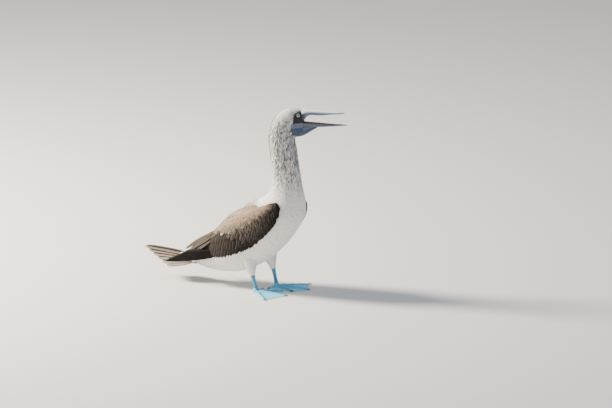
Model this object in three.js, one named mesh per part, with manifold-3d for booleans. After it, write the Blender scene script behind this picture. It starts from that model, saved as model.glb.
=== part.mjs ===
// A blue-footed booby standing on both feet, head turned a little to its left, beak open.
// Millimetres, +Z up, the bird faces +X and its left side is +Y. The soles rest on z = 0.
import * as THREE from 'three';
import { mergeVertices } from 'three/addons/utils/BufferGeometryUtils.js';
import Module from 'manifold-3d';

const wasm = await Module();
wasm.setup();

// Gap left where two pieces meet.
const GAP = 0.3;

// Cross-sections of head, neck and body from the tail root forward: where the back line and the
// belly line pass (x, z), and half the width. The sections are planes that hold the Y direction.
const SECTIONS = [
  { back: [-197, 80], belly: [-188, 46], half: 19 },
  { back: [-168, 111], belly: [-150, 39], half: 32 },
  { back: [-132, 150], belly: [-105, 38], half: 45 },
  { back: [-95, 190], belly: [-55, 47], half: 55 },
  { back: [-62, 215], belly: [0, 76], half: 60 },
  { back: [-38, 230], belly: [45, 115], half: 62 },
  { back: [-16, 239], belly: [81, 160], half: 61 },
  { back: [2, 249], belly: [102.5, 200], half: 56 },
  { back: [14, 262], belly: [106, 235], half: 47 },
  { back: [22.5, 284], belly: [99.5, 272], half: 38 },
  { back: [22.5, 311], belly: [94, 305], half: 34.5 },
  { back: [19, 344], belly: [88, 340], half: 33 },
  { back: [15, 374], belly: [83.5, 371], half: 32.5 },
  { back: [12.5, 401], belly: [80, 391], half: 32 },
  { back: [15.5, 426], belly: [79, 402], half: 30 },
  { back: [24, 452], belly: [81, 406.5], half: 27.5 },
  { back: [41, 470.5], belly: [86.5, 407.5], half: 25.5 },
  { back: [60, 479.5], belly: [92.5, 408.5], half: 22.5 },
  { back: [78, 481.5], belly: [97.5, 410], half: 18.5 },
  { back: [101, 478.5], belly: [101, 411], half: 13.5 },
];
// How square the sections are (2 is an ellipse), and the points round each.
const FULLNESS = 2.25;
const AROUND = 24;
// Where the neck starts and ends and where the beak starts, counted in sections.
const NECK_FOOT = 8.4;
const NECK_TOP = 13.5;
const BEAK_ROOT = SECTIONS.length - 1;

// The head turns to the left about an upright axis, and the neck takes the turn up.
const TURN = { angle: THREE.MathUtils.degToRad(20), x: 50, from: 270, to: 400 };

const COLOURS = {
  white: new THREE.MeshStandardMaterial({ color: 0xf1efea, roughness: 0.85 }),
  neck: new THREE.MeshStandardMaterial({ color: 0xb9ada0, roughness: 0.85 }),
  brown: new THREE.MeshStandardMaterial({ color: 0x6d5a46, roughness: 0.8 }),
  tail: new THREE.MeshStandardMaterial({ color: 0xc8b79c, roughness: 0.8 }),
  beak: new THREE.MeshStandardMaterial({ color: 0x6f8494, roughness: 0.45 }),
  pouch: new THREE.MeshStandardMaterial({ color: 0x3c5a78, roughness: 0.6 }),
  eye: new THREE.MeshStandardMaterial({ color: 0xd8d3a0, roughness: 0.1 }),
  foot: new THREE.MeshStandardMaterial({ color: 0x2f93b8, roughness: 0.5 }),
  claw: new THREE.MeshStandardMaterial({ color: 0x8f8f88, roughness: 0.4 }),
};

const part = new THREE.Group();

const v3 = (x, y, z) => new THREE.Vector3(x, y, z);
const mix = THREE.MathUtils.lerp;
const bell = (s) => Math.sin(Math.PI * s);

// A value that follows keys [place, value] in straight steps.
function along(keys, s) {
  const last = keys.length - 1;
  if (s <= keys[0][0]) return keys[0][1];
  if (s >= keys[last][0]) return keys[last][1];
  const next = keys.findIndex((key) => key[0] > s);
  const [s0, value0] = keys[next - 1];
  const [s1, value1] = keys[next];
  return mix(value0, value1, (s - s0) / (s1 - s0));
}

// A closed skin through rings of points. A ring of one point closes an end, and any other end ring
// is closed by a fan. Both halves of a ring are split alike, so that thin plates keep their thickness.
function loft(rings) {
  const points = rings.flat();
  const starts = [];
  let count = 0;
  for (const ring of rings) {
    starts.push(count);
    count += ring.length;
  }
  const sides = Math.max(...rings.map((ring) => ring.length));
  const faces = [];
  for (let k = 0; k + 1 < rings.length; k += 1) {
    const a = starts[k];
    const b = starts[k + 1];
    for (let j = 0; j < sides; j += 1) {
      const i = (j + 1) % sides;
      if (rings[k].length === 1) faces.push([a, b + j, b + i]);
      else if (rings[k + 1].length === 1) faces.push([a + i, a + j, b]);
      else if (j < sides / 2) faces.push([a + j, b + j, b + i], [a + j, b + i, a + i]);
      else faces.push([a + j, b + j, a + i], [a + i, b + j, b + i]);
    }
  }
  const fan = (ring, start, outward) => {
    if (ring.length === 1) return;
    const middle = ring.reduce((sum, p) => sum.add(p), v3(0, 0, 0)).divideScalar(ring.length);
    points.push(middle);
    for (let j = 0; j < sides; j += 1) {
      const i = (j + 1) % sides;
      faces.push([start + (outward ? j : i), points.length - 1, start + (outward ? i : j)]);
    }
  };
  fan(rings[0], starts[0], false);
  fan(rings[rings.length - 1], starts[rings.length - 1], true);
  let volume = 0;
  for (const [a, b, c] of faces) volume += points[a].dot(points[b].clone().cross(points[c]));
  if (volume < 0) for (const face of faces) face.reverse();
  const geometry = new THREE.BufferGeometry();
  const places = points.flatMap((p) => p.toArray());
  geometry.setAttribute('position', new THREE.Float32BufferAttribute(places, 3));
  geometry.setIndex(faces.flat());
  return geometry;
}

// three.js geometry to a solid that can be joined and cut, and back.
function solid(geometry) {
  const bare = geometry.clone();
  bare.deleteAttribute('normal');
  bare.deleteAttribute('uv');
  const merged = mergeVertices(bare, 1e-4);
  return new wasm.Manifold(new wasm.Mesh({
    numProp: 3,
    vertProperties: new Float32Array(merged.attributes.position.array),
    triVerts: new Uint32Array(merged.index.array),
  }));
}

function geometryOf(body) {
  const mesh = body.getMesh();
  const geometry = new THREE.BufferGeometry();
  geometry.setAttribute('position', new THREE.BufferAttribute(new Float32Array(mesh.vertProperties), 3));
  geometry.setIndex(new THREE.BufferAttribute(new Uint32Array(mesh.triVerts), 1));
  return geometry;
}

const join = (pieces) => pieces.reduce((sum, piece) => sum.add(piece));
const larger = (a, b) => (b.volume() > a.volume() ? b : a);
const largest = (body) => body.decompose().reduce(larger);

function addNode(name, body, material, shape = (p) => p) {
  const geometry = geometryOf(largest(body));
  const place = geometry.attributes.position;
  for (let i = 0; i < place.count; i += 1) {
    const p = shape(v3(place.getX(i), place.getY(i), place.getZ(i)));
    place.setXYZ(i, p.x, p.y, p.z);
  }
  const flat = geometry.toNonIndexed();
  flat.computeVertexNormals();
  const mesh = new THREE.Mesh(flat, material);
  mesh.name = name;
  part.add(mesh);
}

function turned(p) {
  const share = THREE.MathUtils.smoothstep(p.z, TURN.from, TURN.to);
  const q = p.clone().sub(v3(TURN.x, 0, 0)).applyAxisAngle(v3(0, 0, 1), TURN.angle * share);
  return q.add(v3(TURN.x, 0, 0));
}

const sideLine = (key) => new THREE.CatmullRomCurve3(
  SECTIONS.map((s) => v3(s[key][0], 0, s[key][1])), false, 'catmullrom', 0.5);
const backLine = sideLine('back');
const bellyLine = sideLine('belly');
const widthLine = new THREE.CatmullRomCurve3(
  SECTIONS.map((s) => v3(s.half, 0, 0)), false, 'catmullrom', 0.5);

// A point of the feathered outline: t counts the sections, and angle is 0 on the back, 180 on the
// belly and +90 on the left side. Each section is a slightly square ellipse.
function trunk(t, angle) {
  const u = t / BEAK_ROOT;
  const back = backLine.getPoint(u);
  const belly = bellyLine.getPoint(u);
  const half = widthLine.getPoint(u).x;
  const a = THREE.MathUtils.degToRad(angle);
  const squared = (value) => Math.sign(value) * Math.abs(value) ** (2 / FULLNESS);
  const middle = back.clone().add(belly).multiplyScalar(0.5);
  const rise = back.clone().sub(belly).multiplyScalar(0.5);
  return middle.add(rise.multiplyScalar(squared(Math.cos(a)))).add(v3(0, half * squared(Math.sin(a)), 0));
}

function trunkNormal(t, angle) {
  const step = 0.02;
  const lengthwise = trunk(t + step, angle).sub(trunk(t - step, angle));
  const round = trunk(t, angle + 1).sub(trunk(t, angle - 1));
  return lengthwise.cross(round).normalize();
}

const onTrunk = (t, angle, height) => trunk(t, angle).add(trunkNormal(t, angle).multiplyScalar(height));

// Rings of one length of the trunk between two sections, pushed out by the swell.
function trunkLength(from, to, rings, swell = 0) {
  const list = [];
  for (let k = 0; k <= rings; k += 1) {
    const t = mix(from, to, k / rings);
    const ring = [];
    for (let j = 0; j < AROUND; j += 1) {
      const angle = (360 * (j + 0.5)) / AROUND;
      const inside = THREE.MathUtils.clamp(t, 0.03, BEAK_ROOT - 0.03);
      ring.push(trunk(t, angle).add(trunkNormal(inside, angle).multiplyScalar(swell)));
    }
    list.push(ring);
  }
  return list;
}

// The plane of a section, as a direction that points to the beak.
function facing(t) {
  const u = t / BEAK_ROOT;
  const rise = backLine.getPoint(u).sub(bellyLine.getPoint(u));
  return v3(0, 1, 0).cross(rise).normalize();
}

// The same rings drawn in by half the gap at each end that meets another piece.
function trimmed(rings, from, to) {
  const first = facing(from).multiplyScalar(from > 0 ? GAP / 2 : 0);
  const last = facing(to).multiplyScalar(to < BEAK_ROOT ? -GAP / 2 : 0);
  rings[0].forEach((p) => p.add(first));
  rings[rings.length - 1].forEach((p) => p.add(last));
  return rings;
}

// Body and lower neck grown by the gap, which is cut from whatever lies against them.
const swollenTrunk = solid(loft(trunkLength(0, 10, 20, GAP)));

function addTorso() {
  const body = solid(loft(trimmed(trunkLength(0, NECK_FOOT, 17), 0, NECK_FOOT)));
  addNode('torso', body, COLOURS.white, turned);
}

function addNeck() {
  const body = solid(loft(trimmed(trunkLength(NECK_FOOT, NECK_TOP, 10), NECK_FOOT, NECK_TOP)));
  addNode('neck', body, COLOURS.neck, turned);
}

// Eye: its centre, ball radius, how far it stands out of the cheek, and the lid's ring, which is
// turned forward by an angle in degrees.
const EYE = { x: 88.3, z: 465.5, ball: 7, out: 2.4, lidRing: 6.4, lidThick: 1.3, lidOut: 0.2, forward: 12 };
// The line of the mouth, a round groove from the corner in the cheek to just past the beak's root.
const MOUTH_LINE = { from: [78, 446.5], to: [101.5, 448.4], half: 0.7, past: 4 };

function cheek(x, z) {
  let best = { gap: Infinity };
  for (let t = 15; t <= BEAK_ROOT - 0.05; t += 0.05) {
    for (let angle = 20; angle <= 160; angle += 2) {
      const p = trunk(t, angle);
      const gap = Math.hypot(p.x - x, p.z - z);
      if (gap < best.gap) best = { gap, p };
    }
  }
  return best.p.y;
}

const eyeDepth = cheek(EYE.x, EYE.z) + EYE.out - EYE.ball;

function eyeBall(side, radius) {
  const ball = new THREE.SphereGeometry(radius, 14, 9);
  ball.rotateX(Math.PI / 2);
  ball.translate(EYE.x, side * eyeDepth, EYE.z);
  return ball;
}

function addHead() {
  let body = solid(loft(trimmed(trunkLength(NECK_TOP, BEAK_ROOT, 15), NECK_TOP, BEAK_ROOT)));
  for (const side of [-1, 1]) {
    const lid = new THREE.TorusGeometry(EYE.lidRing, EYE.lidThick, 5, 14);
    lid.rotateX(Math.PI / 2);
    lid.rotateZ(-side * THREE.MathUtils.degToRad(EYE.forward));
    lid.translate(EYE.x, side * (cheek(EYE.x, EYE.z) + EYE.lidOut), EYE.z);
    body = body.add(solid(lid));
    body = body.subtract(solid(eyeBall(side, EYE.ball + GAP)));
    const corner = v3(MOUTH_LINE.from[0], side * cheek(...MOUTH_LINE.from), MOUTH_LINE.from[1]);
    const beakEnd = v3(MOUTH_LINE.to[0], side * cheek(...MOUTH_LINE.to), MOUTH_LINE.to[1]);
    const groove = new THREE.CylinderGeometry(MOUTH_LINE.half, MOUTH_LINE.half, 1, 6);
    const run = beakEnd.clone().sub(corner);
    groove.scale(1, run.length() + MOUTH_LINE.past, 1);
    groove.applyQuaternion(new THREE.Quaternion().setFromUnitVectors(v3(0, 1, 0), run.clone().normalize()));
    const middle = corner.clone().add(beakEnd).multiplyScalar(0.5);
    groove.translate(middle.x, middle.y, middle.z);
    body = body.subtract(solid(groove));
  }
  addNode('head', body, COLOURS.neck, turned);
  for (const [name, side] of [['eye_left', 1], ['eye_right', -1]]) {
    addNode(name, solid(eyeBall(side, EYE.ball)), COLOURS.eye, turned);
  }
}

// Beak outline in side view: stations along x with the upper and lower edge of each mandible and
// its half width.
const BEAK_START = 101 + GAP;
const UPPER_BEAK = [
  { x: BEAK_START, top: 478.5, bottom: 449, half: 13.2 },
  { x: 105, top: 478.4, bottom: 454, half: 12.6 },
  { x: 110, top: 478.2, bottom: 460, half: 11.6 },
  { x: 120, top: 477.6, bottom: 464.4, half: 10 },
  { x: 132, top: 476.9, bottom: 464, half: 8.6 },
  { x: 146, top: 476, bottom: 464, half: 7.3 },
  { x: 164, top: 474.8, bottom: 465.8, half: 5.8 },
  { x: 187, top: 473.5, bottom: 468, half: 3.8 },
  { x: 202, top: 472.8, bottom: 469.6, half: 2 },
];
const UPPER_TIP = [207.5, 471.2];
const LOWER_BEAK = [
  { x: BEAK_START, top: 447.8, bottom: 434, half: 12.4 },
  { x: 112, top: 447.4, bottom: 434, half: 10.9 },
  { x: 126, top: 446.8, bottom: 434, half: 9.3 },
  { x: 140, top: 446.2, bottom: 434, half: 7.8 },
  { x: 158, top: 445.2, bottom: 435.2, half: 6.2 },
  { x: 182, top: 443.8, bottom: 437.2, half: 4.2 },
  { x: 206, top: 442.2, bottom: 439.4, half: 2 },
];
const LOWER_TIP = [216.5, 440.6];
const BEAK_SIDES = 14;
// The bare throat skin under the lower mandible: its lowest line and half width along x.
const POUCH = [
  { x: BEAK_START, low: 411, half: 12 },
  { x: 108, low: 414.5, half: 10.6 },
  { x: 116, low: 419.5, half: 9 },
  { x: 126, low: 426, half: 6.8 },
  { x: 134, low: 430.5, half: 4.8 },
];
const POUCH_TOP = 440;
const POUCH_TIP = [139, 435];
const POUCH_SIDES = 12;

// Rings with a rounded ridge on one side, and a flatter side where the two mandibles face each other.
function beakRings(stations, up) {
  return stations.map(({ x, top, bottom, half }) => {
    const edge = up ? bottom : top;
    const ridge = up ? top : bottom;
    const ring = [];
    for (let j = 0; j < BEAK_SIDES; j += 1) {
      const a = (2 * Math.PI * (j + 0.5)) / BEAK_SIDES;
      const c = Math.cos(a);
      const s = Math.sin(a);
      const height = c > 0 ? 0.22 + 0.78 * c ** 0.8 : 0.22 * (1 + c);
      ring.push(v3(x, half * Math.sign(s) * Math.abs(s) ** 0.75, mix(edge, ridge, height)));
    }
    return ring;
  });
}

function addBeak() {
  const upper = beakRings(UPPER_BEAK, true);
  upper.push([v3(UPPER_TIP[0], 0, UPPER_TIP[1])]);
  addNode('bill_upper', solid(loft(upper)), COLOURS.beak, turned);
  const lower = beakRings(LOWER_BEAK, false);
  lower.push([v3(LOWER_TIP[0], 0, LOWER_TIP[1])]);
  const lowerBody = solid(loft(lower));
  addNode('bill_lower', lowerBody, COLOURS.beak, turned);
  const rings = POUCH.map(({ x, low, half }) => {
    const ring = [];
    for (let j = 0; j < POUCH_SIDES; j += 1) {
      const a = (2 * Math.PI * (j + 0.5)) / POUCH_SIDES;
      ring.push(v3(x, half * Math.sin(a), mix(POUCH_TOP, low, 0.5 - 0.5 * Math.cos(a))));
    }
    return ring;
  });
  rings.push([v3(POUCH_TIP[0], 0, POUCH_TIP[1])]);
  const swollen = LOWER_BEAK.map((s) => ({
    x: s.x === BEAK_START ? s.x - 2 : s.x, top: s.top + GAP, bottom: s.bottom - GAP, half: s.half + GAP,
  }));
  const clearance = beakRings(swollen, false);
  clearance.push([v3(LOWER_TIP[0], 0, LOWER_TIP[1])]);
  addNode('gular_pouch', solid(loft(rings)).subtract(solid(loft(clearance))), COLOURS.pouch, turned);
}

// Legs: where the heel stands, the hock, and the top of the thigh inside the body.
// The toes' headings are in degrees from straight ahead.
const LEGS = [
  {
    side: 'right', heel: [-11, -35], hock: [-19.5, -38, 46], top: [-40, -28, 108],
    toes: { outer: -48, middle: -3, inner: 27, hind: 82 },
  },
  {
    side: 'left', heel: [12, 35], hock: [2, 35, 51.6], top: [-14, 26, 116],
    toes: { outer: 40, middle: 4, inner: -25, hind: -108 },
  },
];
// Radii at shares of the way down, the thigh from inside the body and the shank from the hock.
const THIGH = [[0, 12], [0.12, 19], [0.3, 22], [0.45, 20.5], [0.6, 17], [0.8, 12], [0.94, 8], [1, 6.8]];
const SHANK = [[0, 6.0], [0.12, 6.2], [0.3, 4.9], [0.7, 4.6], [0.9, 5.4], [1, 6.0]];
const ANKLE = 11;
const TOES = {
  outer: { length: 85, root: 4.4, tip: 2.5 },
  middle: { length: 88, root: 4.6, tip: 2.6 },
  inner: { length: 64, root: 4.2, tip: 2.4 },
  hind: { length: 28, root: 3.6, tip: 2.2 },
};
// Joints of a toe as shares of its length, the web's thickness, and how straight its edge is.
const JOINTS = [0, 0.25, 0.42, 0.58, 0.75, 1];
const WEB = { thick: 1.0, straight: 0.96 };
const KNUCKLE = { radius: 8, height: 5.5 };
const CLAW = { length: 8, root: 1.9 };

// Rings of a limb from one point to another, flattened sideways by the squash.
function limb(from, to, radii, sides, squash = 1) {
  const axis = to.clone().sub(from);
  const ahead = axis.clone().normalize();
  const across = v3(0, 1, 0);
  const front = across.clone().cross(ahead).normalize();
  across.copy(ahead).cross(front).normalize();
  return radii.map(([s, r]) => {
    const ring = [];
    for (let j = 0; j < sides; j += 1) {
      const a = (2 * Math.PI * (j + 0.5)) / sides;
      const p = from.clone().addScaledVector(axis, s);
      p.addScaledVector(front, r * Math.cos(a));
      ring.push(p.addScaledVector(across, r * squash * Math.sin(a)));
    }
    return ring;
  });
}

// A toe lies on the ground: a half-round bar, flat below, that narrows to its tip.
function toe(heel, heading, { length, root, tip }) {
  const ahead = v3(Math.cos(heading), Math.sin(heading), 0);
  const aside = v3(-Math.sin(heading), Math.cos(heading), 0);
  return JOINTS.map((s, k) => {
    const half = mix(root, tip, s) * (k % 2 ? 0.92 : 1.06);
    const height = 2 * mix(root, tip, s ** 0.8) * (k % 2 ? 0.86 : 0.95);
    const ring = [];
    for (let j = 0; j < 8; j += 1) {
      const a = (2 * Math.PI * (j + 0.5)) / 8;
      const up = Math.max(0, 0.5 + 0.62 * Math.cos(a));
      const out = Math.sign(Math.sin(a)) * Math.abs(Math.sin(a)) ** 0.7;
      const p = heel.clone().addScaledVector(ahead, s * length);
      ring.push(p.addScaledVector(aside, half * out).setZ(height * up));
    }
    return ring;
  });
}

function addLeg({ side, heel, hock, top, toes }) {
  const name = (piece) => `${piece}_${side}`;
  const hockAt = v3(...hock);
  const ankle = v3(heel[0], heel[1], ANKLE);
  const thigh = solid(loft(limb(v3(...top), hockAt, THIGH, 12, 0.82)));
  addNode(name('thigh'), thigh.subtract(swollenTrunk), COLOURS.white);
  const down = ankle.clone().sub(hockAt).normalize();
  const kneeEnd = hockAt.clone().addScaledVector(down, 1.5);
  const shank = solid(loft(limb(kneeEnd, ankle, SHANK, 10)));

  const ground = v3(heel[0], heel[1], 0);
  const pieces = [];
  const tips = {};
  for (const [digit, degrees] of Object.entries(toes)) {
    const heading = THREE.MathUtils.degToRad(degrees);
    const sizes = TOES[digit];
    pieces.push(solid(loft(toe(ground, heading, sizes))));
    const ahead = v3(Math.cos(heading), Math.sin(heading), 0);
    tips[digit] = ground.clone().addScaledVector(ahead, sizes.length - 2);
  }
  const outline = new THREE.Shape();
  outline.moveTo(heel[0], heel[1]);
  outline.lineTo(tips.outer.x, tips.outer.y);
  for (const [from, to] of [['outer', 'middle'], ['middle', 'inner'], ['inner', 'hind']]) {
    const middle = tips[from].clone().add(tips[to]).multiplyScalar(0.5);
    const drawn = ground.clone().lerp(middle, WEB.straight);
    outline.quadraticCurveTo(drawn.x, drawn.y, tips[to].x, tips[to].y);
  }
  outline.closePath();
  const web = new THREE.ExtrudeGeometry(outline, {
    depth: WEB.thick, bevelEnabled: false, curveSegments: 7,
  });
  pieces.push(solid(web));
  const knuckle = new THREE.SphereGeometry(KNUCKLE.radius, 10, 7);
  knuckle.scale(1, 0.9, 0.95);
  knuckle.translate(heel[0], heel[1], KNUCKLE.height);
  pieces.push(solid(knuckle));
  const floor = new THREE.BoxGeometry(400, 400, 40);
  floor.translate(0, 0, -20);
  const loose = SHANK.map(([s, r]) => [s, r + GAP]);
  const seat = limb(kneeEnd, ankle.clone().addScaledVector(down, GAP), loose, 10);
  const foot = join(pieces).subtract(solid(floor)).subtract(solid(loft(seat)));
  addNode(name('foot'), foot, COLOURS.foot);
  addNode(name('shank'), shank.subtract(thigh), COLOURS.foot);
  for (const [digit, degrees] of Object.entries(toes)) {
    addNode(`claw_${digit}_${side}`, claw(ground, degrees, TOES[digit]), COLOURS.claw);
  }
}

// A claw: a hooked cone from a flat root, just off the end of the toe, down to the ground.
function claw(ground, degrees, { length, tip }) {
  const heading = THREE.MathUtils.degToRad(degrees);
  const ahead = v3(Math.cos(heading), Math.sin(heading), 0);
  const aside = v3(-Math.sin(heading), Math.cos(heading), 0);
  const rings = [0, 0.3, 0.6, 0.85].map((s) => {
    const r = mix(CLAW.root * (tip / 2.5), 0.5, s);
    const reach = length + GAP + CLAW.length * s;
    const rise = mix(tip, 0.6, s * s) + 0.6 * bell(s);
    const ring = [];
    for (let j = 0; j < 8; j += 1) {
      const a = (2 * Math.PI * (j + 0.5)) / 8;
      const up = Math.max(0.05, rise + r * Math.cos(a));
      const p = ground.clone().addScaledVector(ahead, reach);
      ring.push(p.addScaledVector(aside, r * 0.8 * Math.sin(a)).setZ(up));
    }
    return ring;
  });
  rings.push([ground.clone().addScaledVector(ahead, length + GAP + CLAW.length).setZ(0.25)]);
  return solid(loft(rings));
}

// Folded wing on the flank, by the trunk's own coordinates: the upper and the lower edge as angles
// from the back line, and the thickness under the feathers, from the rear to the wrist at the front.
const WING = { rear: 0.5, wrist: 7.8, rings: 14, rows: 6, edge: 0.8, sunk: -3 };
const WING_TOP = [[0.5, 18], [1.5, 15], [2.4, 19], [3.7, 33], [5.65, 45], [7.36, 70], [7.8, 86]];
const WING_LOW = [
  [0.5, 74], [0.95, 80], [1.9, 98], [3.0, 105], [4.4, 108], [6.0, 107], [7.0, 103], [7.5, 99], [7.8, 88],
];
const WING_THICK = [[0.5, 2], [2, 3.2], [4, 4.6], [6.5, 5], [7.4, 4.5], [7.8, 1.5]];
// The left wing is held a little looser: its front edge reaches further round the breast, in degrees,
// and stands off it, in millimetres.
const FLANKS = [
  { name: 'wing_right', side: -1, reach: 0, stand: 2.5 },
  { name: 'wing_left', side: 1, reach: 23, stand: 8 },
];

function wingHeight({ stand }, t, angle) {
  const top = along(WING_TOP, t);
  const v = THREE.MathUtils.clamp((angle - top) / (along(WING_LOW, t) - top), 0, 1);
  const front = THREE.MathUtils.smoothstep(t, 4, 6.5) * THREE.MathUtils.smoothstep(angle, 50, 90);
  const padding = (along(WING_THICK, t) - WING.edge) * Math.sqrt(Math.max(0, bell(v)));
  return WING.edge + padding + stand * front;
}

// Where an angle of the wing lies on the trunk.
function trunkAngle({ side, reach }, t, angle) {
  return side * (angle + (reach * THREE.MathUtils.smoothstep(t, 3.5, 6.5) * angle) / 105);
}

// A point over a wing: the angle counts down the flank from the back line, the height from the core.
function onWing(flank, t, angle, height) {
  return onTrunk(t, trunkAngle(flank, t, angle), wingHeight(flank, t, angle) + height);
}

function wingCore(flank) {
  const rings = [];
  for (let k = 0; k <= WING.rings; k += 1) {
    const t = mix(WING.rear, WING.wrist, k / WING.rings);
    const ring = [];
    for (let j = 0; j <= WING.rows; j += 1) {
      ring.push(onWing(flank, t, mix(along(WING_TOP, t), along(WING_LOW, t), j / WING.rows), 0));
    }
    for (let j = WING.rows; j >= 0; j -= 1) {
      const angle = mix(along(WING_TOP, t), along(WING_LOW, t), j / WING.rows);
      ring.push(onTrunk(t, trunkAngle(flank, t, angle), WING.sunk));
    }
    rings.push(ring);
  }
  return solid(loft(rings));
}

// The outline of a feather: half its width at each share of its length, drawn to a point at 1.
const ROUNDED = [[0, 0.6], [0.45, 1], [0.8, 0.86]];
const POINTED = [[0, 0.7], [0.35, 1], [0.7, 0.78], [0.9, 0.36]];
const BLUNT = [[0, 0.7], [0.4, 1], [0.8, 0.92], [0.95, 0.5]];

// One flat vane. spine(s) gives its middle, up(s) the way its face looks, and across(s) the side that
// is raised by the tilt.
function vane({ spine, up, across, half, thick, tilt, outline }) {
  const rise = Math.tan(THREE.MathUtils.degToRad(tilt));
  const rings = outline.map(([s, share]) => {
    const face = up(s);
    const side = across(s);
    const reach = half * share;
    const corner = (k, level) => spine(s).addScaledVector(side, k * reach)
      .addScaledVector(face, k * reach * rise + (level * thick) / 2);
    return [corner(-1, 1), corner(1, 1), corner(1, -1), corner(-1, -1)];
  });
  rings.push([spine(1)]);
  return solid(loft(rings));
}

// A feather that lies on the wing from one place to another, sunk in at its root and lifted at its tip.
function wingVane(flank, from, to, { half, thick, lift, tilt, outline, root = -1.2 }) {
  const place = (s) => [mix(from[0], to[0], s), mix(from[1], to[1], s)];
  const spine = (s) => onWing(flank, ...place(s), mix(root, lift, Math.min(1, s * 2)));
  const up = (s) => trunkNormal(place(s)[0], trunkAngle(flank, ...place(s)));
  const across = (s) => {
    const ahead = spine(Math.min(1, s + 0.05)).sub(spine(Math.max(0, s - 0.05)));
    const side = ahead.cross(up(s)).normalize();
    return side.x < 0 ? side.negate() : side;
  };
  return vane({ spine, up, across, half, thick, tilt, outline });
}

// A straight or bowed feather between two points of space.
function freeVane(from, to, face, { half, thick, tilt, outline, bow = 0 }) {
  const ahead = to.clone().sub(from).normalize();
  const side = ahead.clone().cross(face).normalize();
  const up = side.clone().cross(ahead).normalize();
  if (up.dot(face) < 0) up.negate();
  return vane({
    spine: (s) => from.clone().lerp(to, s).addScaledVector(up, bow * bell(s)),
    up: () => up.clone(),
    across: () => side.clone(),
    half, thick, tilt, outline,
  });
}

// Rows of wing feathers from the wrist's small coverts to the secondaries. Each row runs from its
// rear feather to its front one: where the tips lie, and how far up and forward the roots are.
const FEATHER_ROWS = [
  {
    count: 10, lift: 0.6,
    tips: [[0.75, 76], [1.9, 103], [3.3, 111], [4.5, 112]], root: [[0.5, 46], [1.3, 36]],
  },
  {
    count: 9, lift: 2.1,
    tips: [[0.95, 58], [2.2, 80], [3.8, 94], [5.3, 101]], root: [[0.6, 32], [1.1, 26]],
  },
  {
    count: 8, lift: 3.6,
    tips: [[1.5, 44], [2.9, 62], [4.5, 79], [6.0, 92]], root: [[0.8, 22], [0.9, 20]],
  },
  {
    count: 6, lift: 5.1,
    tips: [[2.7, 36], [4.2, 56], [5.6, 72], [6.6, 88]], root: [[0.9, 12], [0.7, 14]],
  },
  { count: 4, lift: 6.6, tips: [[4.2, 44], [5.4, 58], [6.4, 72]], root: [[0.9, 8], [0.7, 10]] },
];
const COVERT = { half: 10, thick: 0.55, tilt: 2.5, outline: ROUNDED };
// Long shoulder feathers and tertials along the wing's upper edge, the rearmost reaching past the body.
const SHOULDER = {
  ...COVERT, count: 4, from: [[3.0, 26], [6.2, 52]], to: [[1.3, 20], [4.4, 42]], lift: 3.2,
};
const TERTIALS = [
  { root: [1.7, 54], tip: [-197, -34, 78], half: 9 },
  { root: [1.75, 43], tip: [-211, -26, 82], half: 8.5 },
  { root: [1.8, 32], tip: [-225, -15, 85], half: 8 },
];
const TERTIAL = { face: [-0.15, -0.72, 0.68], thick: 0.8, tilt: 2, outline: POINTED, bow: 2, over: 0.9 };
// Primaries, an upright closed fan along the side of the tail, the outermost longest and lowest.
const PRIMARIES = {
  count: 6, root: [[-152, -43, 94], [-150, -47, 80]], tip: [[-213, -41.5, 84], [-273, -37, 53]],
  face: [0.08, -1, 0.1], half: 6.5, thick: 0.7, tilt: -4, outline: POINTED,
};

// The pair of values at a share of the way along a list of pairs.
function pairAt(pairs, u) {
  const last = pairs.length - 1;
  return [0, 1].map((i) => along(pairs.map((pair, k) => [k / last, pair[i]]), u));
}

function wingFeathers(flank) {
  const vanes = [];
  const flipped = ([x, y, z]) => v3(x, -flank.side * y, z);
  for (const { count, tips, root, lift } of FEATHER_ROWS) {
    for (let i = 0; i < count; i += 1) {
      const u = i / (count - 1);
      const tip = pairAt(tips, u);
      const [ahead, up] = pairAt(root, u);
      vanes.push(wingVane(flank, [tip[0] + ahead, tip[1] - up], tip, { ...COVERT, lift }));
    }
  }
  for (let i = 0; i < SHOULDER.count; i += 1) {
    const u = i / (SHOULDER.count - 1);
    vanes.push(wingVane(flank, pairAt(SHOULDER.from, u), pairAt(SHOULDER.to, u), SHOULDER));
  }
  TERTIALS.forEach(({ root, tip, half }, k) => {
    const from = onWing(flank, ...root, TERTIAL.over * k);
    vanes.push(freeVane(from, flipped(tip), flipped(TERTIAL.face), { ...TERTIAL, half }));
  });
  for (let i = 0; i < PRIMARIES.count; i += 1) {
    const u = i / (PRIMARIES.count - 1);
    const ends = [PRIMARIES.root, PRIMARIES.tip];
    const [from, to] = ends.map(([top, low]) => flipped(top).lerp(flipped(low), u));
    vanes.push(freeVane(from, to, flipped(PRIMARIES.face), PRIMARIES));
  }
  return vanes;
}

function addWing(flank) {
  const body = join([wingCore(flank), ...wingFeathers(flank)]).subtract(swollenTrunk);
  addNode(flank.name, body, COLOURS.brown);
}

// Tail feathers, laid like a tent: the middle pair on top and longest, and each outer pair shorter,
// lower and tucked under the last.
const TAIL_PAIRS = 6;
const TAIL = {
  root: [[-206, 2.2, 67], [-206, 15, 57]], tip: [[-349, 3, 76], [-272, 30, 47]],
  half: 9.5, thick: 0.7, under: 1.05, slope: [8, 40],
};
// The flesh that bears them: x, height of the middle, half the width and half the height.
const RUMP = [[-212, 61.5, 18.5, 14], [-226, 62, 17, 10], [-238, 63.5, 14, 5]];
const RUMP_END = [-246, 64.5];
const TAIL_COVERTS = {
  count: 5, half: 8, thick: 0.8,
  above: { root: [-203, 77], tip: [-246, 75] }, below: { root: [-200, 47], tip: [-244, 47] },
};

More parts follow.
